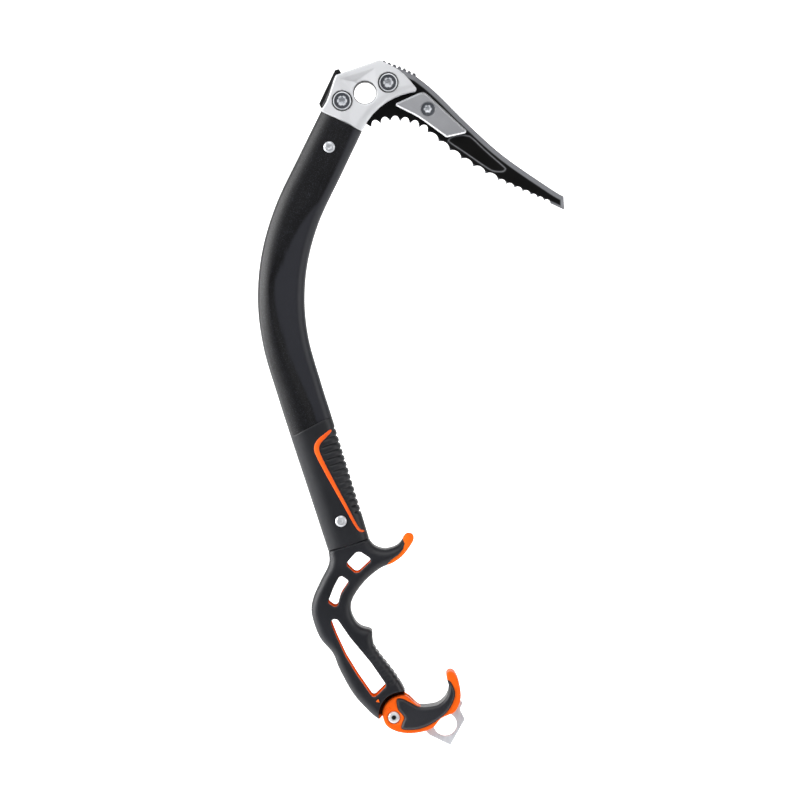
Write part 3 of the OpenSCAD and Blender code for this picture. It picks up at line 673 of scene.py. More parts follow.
pick_black = surface(
    "pick_black", paint(3, 3, 3), paint(6, 6, 7), cloud=55, grain=1200, rough=0.5,
    bump=0.3, depth=0.00004, mark="ground", marked=paint(122, 123, 127), marked_rough=0.45,
    marked_metal=0.3, worn=paint(80, 81, 85), worn_rough=0.4, worn_to=0.5, shine=0.12)
pick_points, pick_quads = net(pick_field, (-30, -2.6, -87), (147, 2.6, 26), (0.55, 0.5, 0.55))
px, py, pz = pick_points.T
ground = np.maximum(1 - smooth(pick_back(px, pz), 3.0, 3.8), 1 - smooth(pick_front(px, pz), 2.2, 3.0))
ground = np.maximum(ground, dent(pick_drop(px, pz), 0.9, 0.42))
ground = np.maximum(ground, 1 - smooth(pick_edge(px, pz), 0.9, 1.9))
make("pick_blade", pick_points, pick_quads, pick_black, "axe", ["pick"],
     {"edge": edge_mark(pick_field, pick_points, 0.5), "ground": ground}, sharp=25)


# ---- Pick bolts and nuts ----
# Two steel bolts clamp the pick in the slot. Each has a turned rim round a darker dished
# face with a hexagon socket, and screws into a sleeve nut with the same face.

def turned(centre, profile, sign=1, sides=60):
    """A turned piece about an axis along Y. A profile point is radius, y, and 1 on a hexagon."""
    t = 2 * np.pi * np.arange(sides) / sides
    hexagon = math.cos(math.pi / 6) / np.cos((t + math.pi / 6) % (math.pi / 3) - math.pi / 6)
    points, faces = [], []
    for r, y, *six in profile:
        radius = r * (hexagon if six and six[0] else np.ones(sides))
        points.append(np.stack([centre[0] + radius * np.cos(t), np.full(sides, y * sign),
                                centre[1] + radius * np.sin(t)], 1))
    for j in range(len(profile) - 1):
        for i in range(sides):
            k = (i + 1) % sides
            quad = (j * sides + i, j * sides + k, (j + 1) * sides + k, (j + 1) * sides + i)
            faces.append(quad if sign > 0 else quad[::-1])
    first, last = tuple(range(sides)), tuple((len(profile) - 1) * sides + i for i in range(sides))
    faces += [first[::-1], last] if sign > 0 else [first, last[::-1]]
    return np.vstack(points), faces


def socket_head(r, face, thick, across, deep, dish):
    """The profile of a bolt's head from the floor of its socket outwards; its face looks along -Y."""
    hexagon, rim = across / 2, r - 0.8
    return [
        (hexagon * 0.3, -face + deep + 0.5), (hexagon * 0.93, -face + deep, 1),
        (hexagon, -face + deep - 0.2, 1), (hexagon, -face + dish + 0.35, 1),
        (hexagon + 0.3, -face + dish, 1), (hexagon + 0.9, -face + dish), (rim - 0.75, -face + dish),
        (rim - 0.35, -face + dish - 0.1), (rim - 0.1, -face + 0.12), (rim + 0.1, -face),
        (r - 0.35, -face), (r - 0.1, -face + 0.12), (r, -face + 0.4), (r, -face + thick - 0.2),
        (r - 0.2, -face + thick)]


def bolt_marks(points, centre, inner, outer):
    """A darker colour on the dished face of a bolt, between its socket and its rim."""
    far = np.hypot(points[:, 0] - centre[0], points[:, 2] - centre[1])
    return {"edge": smooth(far, outer + 0.2, outer + 0.4),
            "ground": smooth(far, inner + 0.1, inner + 0.35) * (1 - smooth(far, outer, outer + 0.3))}


bolt_steel = surface(
    "bolt_steel", paint(228, 230, 234), paint(206, 209, 214), cloud=300, grain=2600, rough=0.34, spread=0.1,
    bump=0.25, depth=0.00003, metal=0.25, mark="ground", marked=paint(27, 31, 40), marked_rough=0.5,
    marked_metal=0.0, worn=paint(214, 216, 220), worn_rough=0.28, shine=0.3)
BOLT_R, BOLT_THICK, BOLT_SOCKET, BOLT_DISH = 6.6, 4.5, 6.2, 0.55
for which, (bx, bz, face) in PICK_BOLTS.items():
    shank = [(4.0, -face + 4.55), (4.0, face - 1.2), (3.6, face - 0.9)]
    for kind, deep, stem, sign in (("bolt", 3.0, shank, 1), ("nut", 0.85, [], -1)):
        head = socket_head(BOLT_R, face, BOLT_THICK, BOLT_SOCKET, deep, BOLT_DISH)
        points, faces = turned((bx, bz), head + stem, sign)
        make(f"{which}_pick_{kind}_body", points, faces, bolt_steel, "axe",
             [f"{which}_pick_{kind}"], bolt_marks(points, (bx, bz), 2.9, 5.7), sharp=20)


# ---- Pick weights ----
# A steel plate on each side of the pick gives the swing more weight. It is sintered and
# left grey, with a bright bevel ground all round.

WEIGHT_SCREW = (45.6, -11.8)
WEIGHT_FACE = 6.4
WEIGHT_BEVEL = 0.9
SCREW_RECESS_R, SCREW_RECESS_DEEP = 5.25, 2.4
weight_side = outline(rounded([
    (20.6, -8.5, 1.3), (42.6, 1.4, 6), (75.2, -28.7, 1.6), (59.2, -32.3, 2.2), (38.5, -17.3, 60)]))


def weight_field(x, y, z):
    plate = np.maximum(weight_side(x, z), 2.05 - y)
    plate = bevelled(plate, y - WEIGHT_FACE, WEIGHT_BEVEL)
    recess = np.hypot(x - WEIGHT_SCREW[0], z - WEIGHT_SCREW[1]) - SCREW_RECESS_R
    return bevelled(plate, -np.maximum(recess, WEIGHT_FACE - SCREW_RECESS_DEEP - y), 0.25)


weight_grey = surface(
    "weight_grey", paint(140, 141, 145), paint(152, 153, 157), cloud=40, grain=1700, rough=0.46, spread=0.05,
    bump=0.35, depth=0.00004, metal=0.3, mark="ground", marked=paint(222, 223, 226), marked_rough=0.3,
    marked_metal=0.8)
points, quads = net(weight_field, (18, 1.2, -35), (78, 7.4, 3), (0.5, 0.4, 0.5))
rim = 1 - smooth(-weight_side(points[:, 0], points[:, 2]), WEIGHT_BEVEL, WEIGHT_BEVEL + 0.4)
for side, sign in (("left", 1), ("right", -1)):
    make(f"{side}_weight_plate", points * (1, sign, 1), quads[:, ::sign], weight_grey, "axe",
         [f"{side}_pick_weight"], {"ground": rim}, sharp=25)


# ---- Weight screw and nut ----
# One steel socket screw holds both plates through the pick. It screws into a flat nut on
# the far side, which has the same dished face.

SCREW_R, SCREW_THICK, SCREW_SOCKET, SCREW_DISH = 5.1, 2.3, 4.8, 0.3
screw_shank = [(2.5, -WEIGHT_FACE + 2.35), (2.5, WEIGHT_FACE - 0.6)]
for kind, deep, stem, sign in (("screw", 1.7, screw_shank, 1), ("nut", 0.7, [], -1)):
    head = socket_head(SCREW_R, WEIGHT_FACE, SCREW_THICK, SCREW_SOCKET, deep, SCREW_DISH)
    points, faces = turned(WEIGHT_SCREW, head + stem, sign)
    make(f"weight_{kind}_body", points, faces, bolt_steel, "axe", [f"weight_{kind}"],
         bolt_marks(points, WEIGHT_SCREW, 2.2, 4.9), sharp=20)


# ---- Rivets ----
# Solid steel rivets pin the head and the handle into the tube. Their heads are set by a
# punch, which leaves a dimple in the middle.

rivet_steel = surface("rivet_steel", paint(200, 202, 206), paint(170, 173, 178), cloud=260, grain=2200,
                      rough=0.38, spread=0.1, bump=0.3, depth=0.00004, metal=0.5, worn=paint(196, 198, 201))
RIVETS = {"upper": ((-25.9, -39.6), SHAFT_HALF + 0.05), "lower": ((-17.5, -311.2), SLEEVE_HALF + 0.05)}
RIVET_PROUD = 1.3
for which, (centre, half) in RIVETS.items():
    top = half + RIVET_PROUD
    half_profile = [(0.35, top - 0.55), (1.0, top - 0.45), (1.5, top - 0.12), (2.0, top), (2.8, top - 0.12),
                    (3.4, top - 0.42), (3.85, top - 0.85), (4.1, half + 0.15), (4.1, half - 0.05),
                    (3.0, half - 0.1)]
    profile = [(r, -y) for r, y in half_profile] + [(r, y) for r, y in half_profile[::-1]]
    points, faces = turned(centre, profile)
    make(f"{which}_rivet_body", points, faces, rivet_steel, "axe", [f"{which}_rivet"],
         {"edge": smooth(np.abs(points[:, 1]), top - 0.2, top)})


# ---- Grip sleeve ----
# Thin rubber moulded over the slimmed end of the tube. Its upper edge is cut on a slant, and
# soft ribs cross its inner side, where the fingers close.

STRIPE_LINE = curve([
    (-24.6, -244.9, 1.8), (-28.9, -248.9, 2.8), (-33.3, -253.1, 3.4), (-35.2, -258, 3.6),
    (-33.2, -264.6, 3.4), (-25.3, -279.9, 3), (-14.7, -299.3, 2.4), (-5.4, -316.2, 1.9),
    (-0.6, -318.6, 1.4)], 8)
stripe_along, stripe_across = beside_shaft(STRIPE_LINE[:, 0], STRIPE_LINE[:, 1])
SLEEVE_FROM, SLEEVE_TO = shaft_reach[SLEEVE_ROW] - 0.5, shaft_reach[LAST_ROW] - 0.05
RIB_FIRST, RIB_PITCH, RIB_COUNT = shaft_reach[SLEEVE_ROW] + 7.0, 4.75, 14
SLANT_LONG, END_ROUND = 14, 0.9
SLEEVE_SIDES = 144


def sleeve_ring(along):
    """One ring of the sleeve: it starts slanted, and its edges are rounded over."""
    cx, cz, deep, ax, az = (np.interp(along, shaft_reach, values) for values in
                            (*SHAFT_LINE.T, *shaft_across.T))
    tilt = SLEEVE_TILT * np.clip(1 - (along - SLEEVE_FROM) / SLANT_LONG, 0, 1)
    slant = math.atan2(az, ax) + tilt
    from_end = min(along - SLEEVE_FROM, SLEEVE_TO - along)
    less = END_ROUND - math.sqrt(max(0, END_ROUND ** 2 - max(0, END_ROUND - from_end) ** 2))
    t = 2 * np.pi * (np.arange(SLEEVE_SIDES) + 0.5) / SLEEVE_SIDES
    u = deep / 2 * full_power(np.cos(t))
    y = SLEEVE_HALF * full_power(np.sin(t))
    y = np.sign(y) * flattened(np.abs(y), u, deep / 2, SLEEVE_HALF, SLEEVE_CROWN)
    turn = (along - RIB_FIRST) / RIB_PITCH
    near = abs(turn - round(turn)) * RIB_PITCH
    ribbed = float(0 <= round(turn) < RIB_COUNT)
    edge = np.interp(along, np.maximum.accumulate(stripe_along), stripe_across)
    groove = ribbed * dent(near, 1.15, 0.7) * smooth(u, edge + 3.0, edge + 5.0)
    shrink = 1 - (less + groove) / np.hypot(u, y)
    u, y = u * shrink / math.cos(tilt), y * shrink
    return np.stack([cx + u * math.cos(slant), y, cz + u * math.sin(slant)], 1)


sleeve_rubber = surface(
    "sleeve_rubber", paint(21, 22, 26), paint(28, 29, 33), cloud=40, grain=2000, rough=0.5,
    bump=0.4, depth=0.00004, shine=0.3)
sleeve_places = np.concatenate([
    SLEEVE_FROM + np.array([0, 0.15, 0.4, 0.8]), np.arange(SLEEVE_FROM + 1.4, SLEEVE_TO - 1, 0.6),
    SLEEVE_TO - np.array([0.8, 0.4, 0.15, 0])])
sleeve_rings = [sleeve_ring(along) for along in sleeve_places]
make("grip_sleeve_skin", np.vstack(sleeve_rings), loft_faces(len(sleeve_rings), SLEEVE_SIDES),
     sleeve_rubber, "axe", ["grip_sleeve"], sharp=60)


# ---- Stripes ----
# A bead of bright orange rubber on each side of the sleeve, round the ribs. It is moulded
# into a groove and stands a little proud.

def sleeve_face(x, z):
    """Half of the sleeve's thickness at a place in the side view."""
    along, across = beside_shaft(x, z)
    deep = np.interp(along, shaft_reach, SHAFT_LINE[:, 2]) / 2
    part = np.abs(np.clip(across / deep, -0.98, 0.98)) ** (2 / SQUARENESS)
    y = SLEEVE_HALF * np.maximum(1 - part, 0) ** (SQUARENESS / 2)
    return flattened(y, across, deep, SLEEVE_HALF, SLEEVE_CROWN)


stripe_way = np.gradient(STRIPE_LINE[:, :2], axis=0)
stripe_way /= np.linalg.norm(stripe_way, axis=1)[:, None]
stripe_rows = len(STRIPE_LINE)
from_end = np.minimum(np.arange(stripe_rows), np.arange(stripe_rows)[::-1])
taper = np.sqrt(np.clip(1 - (1 - np.clip(from_end / 3.0, 0, 1)) ** 2, 0.12, 1))
stripe_half = STRIPE_LINE[:, 2] / 2 * taper
stripe_section = [(-1, -0.9), (-1, 0.02), (-0.8, 0.24), (-0.4, 0.36), (0, 0.4), (0.4, 0.36), (0.8, 0.24),
                  (1, 0.02), (1, -0.9)]
stripe_orange = surface(
    "stripe_orange", paint(226, 82, 14), paint(236, 96, 22), cloud=70, grain=1800, rough=0.5,
    bump=0.2, depth=0.00003, shine=0.25)
stripe_points = []
for across, high in stripe_section:
    sx = STRIPE_LINE[:, 0] - across * stripe_half * stripe_way[:, 1]
    sz = STRIPE_LINE[:, 1] + across * stripe_half * stripe_way[:, 0]
    stripe_points.append(np.stack([sx, sleeve_face(sx, sz) + high, sz], 1))
stripe_points = np.stack(stripe_points, 1).reshape(-1, 3)
stripe_faces = loft_faces(stripe_rows, len(stripe_section))
make("left_stripe_bead", stripe_points, stripe_faces, stripe_orange, "axe",
     ["left_stripe"], sharp=60)
make("right_stripe_bead", stripe_points * (1, -1, 1), [f[::-1] for f in stripe_faces], stripe_orange,
     "axe", ["right_stripe"], sharp=60)


# ---- Handle core ----
# One hard moulding in orange nylon: a web with a rim round each window, the upper finger
# rest's tip, and the tongue that carries the hand rest.

HANDLE_BACK = curve([
    (-29.2, -326.4), (-26.7, -334.1), (-26.6, -343.3), (-32.3, -355), (-38, -368), (-38.9, -379.5),
    (-33.2, -396.1), (-23.6, -407.8), (-18.7, -419.6), (-8.9, -437.2), (1.4, -448.9), (9.3, -455.7),
    (20, -460)], 4)
HANDLE_FRONT = curve([
    (33.6, -444.4), (31.2, -439.8), (23.5, -425.4), (10, -407.8), (5.7, -400), (5.2, -392.6),
    (3.4, -390.4), (-2.4, -388.7), (-7.4, -384.3), (-10.5, -376), (-8.6, -366.8), (-0.1, -355),
    (10.8, -345.9), (19.6, -342.2), (26.9, -337.1), (32.7, -329.7), (35.4, -324.4), (34.4, -321.6),
    (31.6, -320.8), (29, -321.9), (25.6, -327), (21.7, -330), (14.4, -331.9), (7.1, -329.7),
    (2.6, -324.4), (0.4, -317.4)], 3)
WINDOWS = [
    [(-5.2, -332.2, 4.5), (5.4, -339.3, 2.6), (-6.2, -350.2, 3.6), (-14.4, -342.6, 3)],
    [(-18, -350.3, 2.4), (-11.2, -355, 2.4), (-18, -365, 14), (-20.6, -375.2, 2.4), (-27.2, -370.6, 2.4),
     (-22.6, -358.6, 30)],
    [(-26.4, -381.6, 2.6), (-19.9, -383, 2), (-11, -396, 40), (4.3, -414.4, 60), (15.9, -431.2, 2.6),
     (6.1, -440.8, 2.4), (-15, -410.5, 140)]]
TIP_LINE = [(13, -347), (18.8, -339.4), (23.9, -336.1), (27.4, -332), (28.8, -327.4), (26.5, -322.5),
            (30, -316), (40, -318), (40, -347)]
PIVOT = (21.0, -454.7)
REST_END = (26.6, -452.3)
HANDLE_END_R = 16.6
RIM_HALF, RIM_WIDE = 9.6, 1.4
WEB_HALF, WEB_INSET = 6.5, 2.6
TIP_HALF = 9.5
TONGUE_HALF = 4.0
BUSH_HOLE = 4.6


def arc(centre, r, start, end, count):
    t = np.radians(np.linspace(start, end, count))
    return [(centre[0] + r * math.cos(a), centre[1] + r * math.sin(a)) for a in t]


handle_side = outline(np.vstack([HANDLE_BACK, HANDLE_FRONT]))
handle_windows = [outline(rounded(w)) for w in WINDOWS]
handle_tip = outline(TIP_LINE)
handle_tongue = outline(arc(PIVOT, 6.8, -212, 12, 21) + arc(PIVOT, 17.8, 12, 54, 9)
                        + [(26, -434), (10, -436), (0, -444), (10.4, -456.6)])
joint_end, joint_way = SHAFT_LINE[LAST_ROW, :2], shaft_way[LAST_ROW]
under_hand = outline([(11, -455.5), (60, -446), (60, -480), (11, -480)])


def window_distance(x, z):
    return np.minimum.reduce([w(x, z) for w in handle_windows])


def past_handle(x, z, room=0.0):
    """Above zero inside the handle's own length: it ends at the sleeve and round the hand rest."""
    sleeve = (x - joint_end[0]) * joint_way[0] + (z - joint_end[1]) * joint_way[1] - room
    rest = np.hypot(x - REST_END[0], z - REST_END[1]) - HANDLE_END_R - room
    return np.minimum(np.minimum(sleeve, rest), under_hand(x, z))


def core_field(x, y, z):
    side, window = handle_side(x, z), window_distance(x, z)
    tip, ends = handle_tip(x, z), past_handle(x, z)
    web = np.maximum(np.maximum(side + WEB_INSET, np.abs(y) - WEB_HALF), -ends)
    rims = np.maximum(window - RIM_WIDE, np.abs(y) - RIM_HALF)
    soft_tip = least_round(least_round(side, np.abs(y) - TIP_HALF, 3.0), tip, 0.4)
    root = np.maximum(np.maximum(side + 1.1, tip - 3), np.abs(y) - WEB_HALF)
    tongue = np.maximum(handle_tongue(x, z), np.abs(y) - TONGUE_HALF)
    body = np.minimum.reduce([web, rims, soft_tip, root, tongue])
    body = np.maximum(body, BUSH_HOLE - np.hypot(x - PIVOT[0], z - PIVOT[1]))
    return least_round(body, -window, 0.3)


# The skin mark's near black is painted shade, not rubber: it darkens the tongue in the narrow gap by the
# hand rest.
core_orange = surface(
    "core_orange", paint(234, 100, 28), paint(242, 112, 36), cloud=45, grain=1500, rough=0.55,
    bump=0.18, depth=0.00003, worn=paint(246, 128, 56), worn_rough=0.5, worn_to=0.4, shine=0.0,
    mark="skin", marked=paint(12, 12, 13), marked_rough=0.6)
core_points, core_quads = net(core_field, (-42, -10.4, -464), (41, 10.4, -314), 0.72)
cx, cy, cz = core_points.T
# Where the tongue shows between the grip's end and the hand rest's disc it is painted near black, as the
# shade deep in that gap.
gap_shade = smooth(np.hypot(cx - REST_END[0], cz - REST_END[1]), 11.5, 12.5) * (1 - smooth(cx, 28, 29.5))
gap_shade *= smooth(cz, -454.5, -452.5) * (1 - smooth(cz, -436, -434))
gap_shade *= smooth(window_distance(cx, cz), 1.6, 2.4)
make("handle_core_moulding", core_points, core_quads, core_orange, "axe", ["handle_core"],
     {"edge": edge_mark(core_field, core_points, 0.8) * (1 - gap_shade), "skin": gap_shade}, sharp=30)


# ---- Handle grip ----
# Soft rubber moulded over the core: full and rounded where the palm lies, drawn out into the
# finger rest, with a horn between the fingers and soft ribs below it.

HANDLE_HALF, HANDLE_TOP_HALF = 12.8, 11.5
FINGER_THINNER = 2.6
GRIP_RIB_FROM, GRIP_RIB_WAY, GRIP_RIB_PITCH = (5.5, -402.5), (0.541, -0.841), 4.35
grip_front = beside(curve([
    (34, -445), (31.2, -439.8), (23.5, -425.4), (10, -407.8), (5.7, -400), (5.2, -392.6)], 4))


def grip_half(x, z):
    """Half of the grip's thickness: it swells below the sleeve and thins into the finger rest."""
    below = (x - joint_end[0]) * joint_way[0] + (z - joint_end[1]) * joint_way[1]
    half = HANDLE_TOP_HALF + (HANDLE_HALF - HANDLE_TOP_HALF) * smooth(below, 0, 16)
    return half - FINGER_THINNER * smooth(x, 12, 31) * smooth(z, -352, -340)


def grip_field(x, y, z):
    side, window = handle_side(x, z), window_distance(x, z)
    step = (x - GRIP_RIB_FROM[0]) * GRIP_RIB_WAY[0] + (z - GRIP_RIB_FROM[1]) * GRIP_RIB_WAY[1]
    near = np.abs(step / GRIP_RIB_PITCH - np.round(step / GRIP_RIB_PITCH)) * GRIP_RIB_PITCH
    ribbed = smooth(step, -1.5, 1) * (1 - smooth(step, 32, 35))
    ribbed = ribbed * (1 - smooth(grip_front(x, z), 5.5, 9.5))
    body = least_round(side, np.abs(y) - grip_half(x, z), 6.0) + ribbed * dent(near, 0.6, 0.8)
    body = least_round(body, -past_handle(x, z, 0.05), 0.6)
    body = least_round(body, -window, 1.1)
    body = np.maximum(body, -np.maximum(window - 1.1, np.abs(y) - RIM_HALF + 0.1))
    body = least_round(body, -np.maximum(handle_tip(x, z), side - 0.5), 0.25)
    return np.maximum(body, -np.maximum(handle_tongue(x, z) - 0.05, np.abs(y) - TONGUE_HALF - 0.05))


grip_rubber = surface(
    "grip_rubber", paint(20, 21, 25), paint(27, 28, 33), cloud=38, grain=1900, rough=0.46,
    bump=0.4, depth=0.00004, shine=0.3, worn=paint(50, 51, 57), worn_rough=0.44, worn_to=0.35)
grip_points, grip_quads = net(grip_field, (-42, -14, -462), (39, 14, -314), 0.72)
make("handle_grip_skin", grip_points, grip_quads, grip_rubber, "axe", ["handle_grip"],
     {"edge": edge_mark(grip_field, grip_points, 1.2)}, sharp=50)


# ---- Size pointer ----
# A small arrow in the core's orange nylon points at the marks on the hand rest. It is let
# into the right side of the grip when the rubber is moulded.

POINTER, POINTER_R = (9.4, -442.2), 1.5
pointer_side = outline(arc(POINTER, POINTER_R, -47, 193, 3))


def pointer_field(x, y, z):
    return least_round(pointer_side(x, z), np.abs(y + HANDLE_HALF - 1.4) - 1.75, 0.3)


points, quads = net(pointer_field, (7, -13.8, -445), (12, -9, -439.6), 0.24)
make("size_pointer_arrow", points, quads, core_orange, "axe", ["size_pointer"],
     {"edge": edge_mark(pointer_field, points, 0.3)})


# ---- Pivot bush ----
# A plain bronze bush that the hand rest turns on. It is pressed into the tongue, and only
# its ends can be seen.

bush_bronze = surface("bush_bronze", paint(190, 150, 72), paint(160, 122, 58), cloud=200, grain=1800,
                      rough=0.38, spread=0.1, bump=0.25, metal=0.95, stretch=(1, 6, 1))
bush_profile = [(3.05, -4.0), (4.3, -4.0), (4.55, -3.75), (4.55, 3.75), (4.3, 4.0), (3.05, 4.0)]
BUSH_SIDES = 60
points, faces = turned(PIVOT, bush_profile, sides=BUSH_SIDES)
last = len(points) - BUSH_SIDES
faces = faces[:-2] + [(last + i, last + (i + 1) % BUSH_SIDES, (i + 1) % BUSH_SIDES, i)
                      for i in range(BUSH_SIDES)]
make("pivot_bush_ring", points, faces, bush_bronze, "axe", ["pivot_bush"])


# ---- Hand rest ----
# A hard orange nylon hook that the little finger's side of the hand rests on. It turns on the
# tongue to one of three sizes, and has a mark on its disc for each.

REST_HALF = 10.4
PAD_DEEP = 3.2
PIVOT_FACE = 10.2
DISH_R, DISH_DEEP = 5.6, 0.5
BOLT_RECESS_R, BOLT_RECESS_DEEP, BOLT_HOLE = 4.7, 3, 3.05
TONGUE_ROOM_R, TONGUE_EYE_ROOM_R = 18.3, 7.4
SPIKE_SLOT_HALF = 2.05
MARK_TURNS, MARK_OUT, MARK_LONG, MARK_WIDE, MARK_HIGH = (117, 133, 149), 7.4, 1.1, 0.36, 0.34
SPIKE_PINS = [(48.2, -457.4), (64.4, -446.2)]
rest_side = outline(curve([
    (30.5, -439.2), (24.2, -438.7), (17.6, -441.8), (13.4, -447.6), (12.9, -454.2), (16.3, -461.4),
    (25.4, -465.6), (36.4, -466.1), (48.4, -462.9), (54.9, -455.9), (60.2, -453.1), (65.4, -450.6),
    (69, -444), (69.7, -436.4), (67.8, -427.4), (65.2, -422.4), (62.4, -420.8), (59.6, -422.2),
    (59.4, -425.8), (61.2, -433), (59, -440), (53.3, -445.2), (45.6, -446.9), (39.6, -446.6),
    (35, -443)], 4, True))
pad_side = outline(curve([
    (22.9, -441.6), (26.9, -440.7), (32.7, -443.4), (39.2, -446.8), (45.6, -447.1), (53.3, -445.4),
    (59, -440.2), (61.2, -433), (60.4, -427.2), (63.4, -430.2), (65.7, -437.3), (63, -445.7),
    (57.5, -453), (48, -459.6), (40, -462.9), (31.2, -463.8), (26.4, -462.6), (27.2, -458),
    (28.3, -454.3), (24, -448.8)], 4, True))
wrap_side = outline([
    (40.5, -452), (40.5, -440), (57, -426), (61, -427.5), (66, -434), (60, -446), (52, -452)])
spike_side = outline(rounded([
    (47, -452, 2), (43.6, -465.2, 1), (46.7, -468.4, 1), (62.3, -476, 0.5), (72.9, -457, 0.6),
    (69.6, -450.6, 3), (69.8, -447.8, 3), (71.6, -445, 0.5), (66.5, -440.5, 3), (60, -449.4, 4)]))
tongue_room = outline([PIVOT] + arc(PIVOT, TONGUE_ROOM_R, -7, 200, 21))
tongue_under = outline([PIVOT] + arc(PIVOT, TONGUE_ROOM_R, 195, 262, 9))


def wrap_field(x, z, grow=0.0):
    """The strip along the inside of the hook where the pad's two sides join."""
    inner = rest_side(x - 1.6 - grow, z + 2.2 + grow)
    return np.maximum(np.maximum(rest_side(x, z), -inner), wrap_side(x, z))


def rest_field(x, y, z):
    side, wide = rest_side(x, z), np.abs(y)
    far = np.hypot(x - PIVOT[0], z - PIVOT[1])
    body = least_round(side, wide - REST_HALF, 1.5)
    body = np.maximum(body, wide - REST_HALF + DISH_DEEP * (1 - smooth(far, DISH_R, DISH_R + 0.6)))
    body = np.maximum(body, -np.maximum(pad_side(x, z), REST_HALF - PAD_DEEP - wide))
    body = np.maximum(body, -wrap_field(x, z, 0.05))
    room = np.minimum(np.minimum(tongue_room(x, z), tongue_under(x, z)), far - TONGUE_EYE_ROOM_R)
    body = np.maximum(body, -np.maximum(room, wide - TONGUE_HALF - 0.3))
    body = np.maximum(body, -np.maximum(spike_side(x, z) - 0.05, wide - SPIKE_SLOT_HALF))
    recess = np.maximum(far - BOLT_RECESS_R, PIVOT_FACE - BOLT_RECESS_DEEP - wide)
    body = np.maximum(least_round(body, -recess, 0.3), BOLT_HOLE - far)
    for turn in MARK_TURNS:
        c, s = math.cos(math.radians(turn)), math.sin(math.radians(turn))
        out = (x - PIVOT[0]) * c + (z - PIVOT[1]) * s
        across = (z - PIVOT[1]) * c - (x - PIVOT[0]) * s
        bar = np.maximum(np.abs(out - MARK_OUT) - MARK_LONG, np.abs(across) - MARK_WIDE)
        body = np.minimum(body, least_round(bar, np.abs(y + REST_HALF) - MARK_HIGH, 0.12))
    return body


rest_orange = surface(
    "rest_orange", paint(226, 82, 14), paint(236, 96, 20), cloud=42, grain=1500, rough=0.46,
    bump=0.18, depth=0.00003, worn=paint(240, 112, 40), worn_rough=0.44, worn_to=0.4, shine=0.1)
rest_points, rest_quads = net(rest_field, (11, -11.6, -468), (72, 11.6, -418.5), 0.5)
make("hand_rest_moulding", rest_points, rest_quads, rest_orange, "lower_rest", ["hand_rest"],
     {"edge": edge_mark(rest_field, rest_points, 0.9)}, sharp=32)


# ---- Hand rest pad ----
# A soft grey pad let into each side of the hook. The two sides join in one skin round the
# inside of the hook, where the hand bears.

PAD_HALF = 12.0


def pad_field(x, y, z):
    wide = np.abs(y)
    sides = least_round(pad_side(x, z) + 0.05, wide - PAD_HALF, 2.6)
    sides = np.maximum(sides, REST_HALF - PAD_DEEP + 0.05 - wide)
    skin = least_round(wrap_field(x, z), wide - PAD_HALF + 1, 0.6)
    body = most_round(sides, skin, 0.3)
    return np.maximum(body, BOLT_RECESS_R + 0.3 - np.hypot(x - PIVOT[0], z - PIVOT[1]))


pad_rubber = surface(
    "pad_rubber", paint(26, 27, 32), paint(34, 35, 40), cloud=45, grain=1900, rough=0.44,
    bump=0.4, depth=0.00004, shine=0.35, worn=paint(62, 63, 70), worn_rough=0.42, worn_to=0.4)
pad_points, pad_quads = net(pad_field, (20, -13.2, -466), (68, 13.2, -423), 0.6)
make("hand_rest_pad_skin", pad_points, pad_quads, pad_rubber, "lower_rest", ["hand_rest_pad"],
     {"edge": edge_mark(pad_field, pad_points, 1.2)}, sharp=45)


# ---- Spike ----
# A stainless plate pinned between the two halves of the hand rest, with two points and an
# eye for a lanyard. It is brushed along its length and its edges are broken.

SPIKE_EYE, SPIKE_EYE_R = (58.5, -460.7), 8.4
SPIKE_HALF, SPIKE_BEVEL = 2.0, 0.4
PIN_HOLE = 1.55


def spike_field(x, y, z):
    plate = bevelled(spike_side(x, z), np.abs(y) - SPIKE_HALF, SPIKE_BEVEL)
    eye = SPIKE_EYE_R - np.hypot(x - SPIKE_EYE[0], z - SPIKE_EYE[1])
    plate = bevelled(plate, eye, SPIKE_BEVEL)
    for pin in SPIKE_PINS:
        plate = np.maximum(plate, PIN_HOLE - np.hypot(x - pin[0], z - pin[1]))
    return plate


spike_steel = surface(
    "spike_steel", paint(188, 191, 198), paint(204, 207, 213), cloud=70, grain=700, rough=0.42, spread=0.08,
    bump=0.35, depth=0.00005, metal=0.2, stretch=(6, 1, 1), worn=paint(214, 216, 219), worn_rough=0.28,
    worn_to=0.9)
points, quads = net(spike_field, (42, -2.6, -478), (75, 2.6, -438), (0.32, 0.35, 0.32))
make("spike_plate", points, quads, spike_steel, "lower_rest", ["spike"],
     {"edge": edge_mark(spike_field, points, 0.5)}, sharp=25)


# ---- Spike pins ----
# Two ground steel pins hold the spike in the hand rest. They are pressed in from the side,
# and the pads cover their ends.

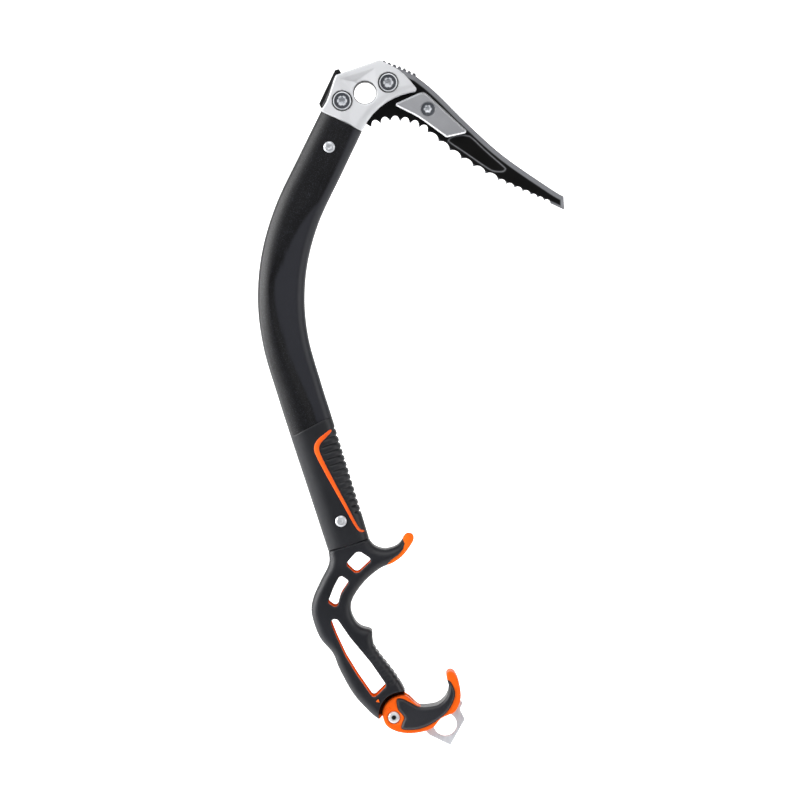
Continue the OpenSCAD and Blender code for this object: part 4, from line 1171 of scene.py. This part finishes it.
pin_steel = surface("pin_steel", paint(150, 152, 156), paint(128, 130, 134), cloud=300, grain=2400,
                    rough=0.34, spread=0.08, bump=0.25, metal=0.95, worn=paint(198, 200, 203))
pin_end = REST_HALF - PAD_DEEP - 0.2
pin_half = [(0.2, pin_end), (1.0, pin_end - 0.05), (1.35, pin_end - 0.2), (1.5, pin_end - 0.5)]
pin_profile = [(r, -y) for r, y in pin_half] + [(r, y) for r, y in pin_half[::-1]]
pin_points, pin_faces = [], []
for centre in SPIKE_PINS:
    points, faces = turned(centre, pin_profile, sides=36)
    pin_faces += [tuple(i + len(pin_points) * len(points) for i in f) for f in faces]
    pin_points.append(points)
pin_points = np.vstack(pin_points)
make("spike_pin_pair", pin_points, pin_faces, pin_steel, "lower_rest", ["spike_pins"],
     {"edge": smooth(np.abs(pin_points[:, 1]), pin_end - 0.4, pin_end)})


# ---- Pivot bolt and nut ----
# A plated steel bolt and nut clamp the hand rest at the size chosen. The bolt has a small
# hexagon socket in a smooth domed head.

HEAD_R, HEAD_THICK, HEAD_HEXAGON = 4.4, 2.95, 1.7


def domed_head(deep):
    """The profile of the domed head from the floor of its socket outwards."""
    r, face, hexagon = HEAD_R, PIVOT_FACE, HEAD_HEXAGON
    return [
        (hexagon * 0.3, -face + deep + 0.4), (hexagon * 0.93, -face + deep, 1),
        (hexagon, -face + deep - 0.2, 1), (hexagon, -face + 0.3, 1), (hexagon + 0.2, -face, 1),
        (hexagon + 0.6, -face), (r * 0.72, -face + 0.1), (r * 0.88, -face + 0.32),
        (r * 0.97, -face + 0.75), (r, -face + 1.2), (r, -face + HEAD_THICK - 0.1),
        (r - 0.1, -face + HEAD_THICK)]


def domed_marks(points):
    """The inside of the socket, painted dark as the shade that falls in it, and the bright dome round it."""
    far = np.hypot(points[:, 0] - PIVOT[0], points[:, 2] - PIVOT[1])
    return {"ground": 1 - smooth(far, HEAD_HEXAGON - 0.2, HEAD_HEXAGON + 0.1),
            "edge": smooth(far, HEAD_HEXAGON + 0.2, HEAD_HEXAGON + 0.8)}


# The marked colour is painted shade inside the hexagon socket.
pivot_steel = surface(
    "pivot_steel", paint(216, 218, 221), paint(200, 203, 207), cloud=240, grain=2400, rough=0.34,
    bump=0.2, depth=0.00002, metal=0.4, mark="ground", marked=paint(46, 44, 44), marked_rough=0.5,
    marked_metal=0.2, worn=paint(230, 232, 235), worn_rough=0.28)
pivot_shank = [(3.0, -PIVOT_FACE + 2.96), (3.0, PIVOT_FACE - 0.8), (2.7, PIVOT_FACE - 0.6)]
for kind, deep, stem, sign in (("bolt", 2.2, pivot_shank, 1), ("nut", 0.5, [], -1)):
    points, faces = turned(PIVOT, domed_head(deep) + stem, sign)
    make(f"pivot_{kind}_body", points, faces, pivot_steel, "lower_rest",
         [f"pivot_{kind}"], domed_marks(points))
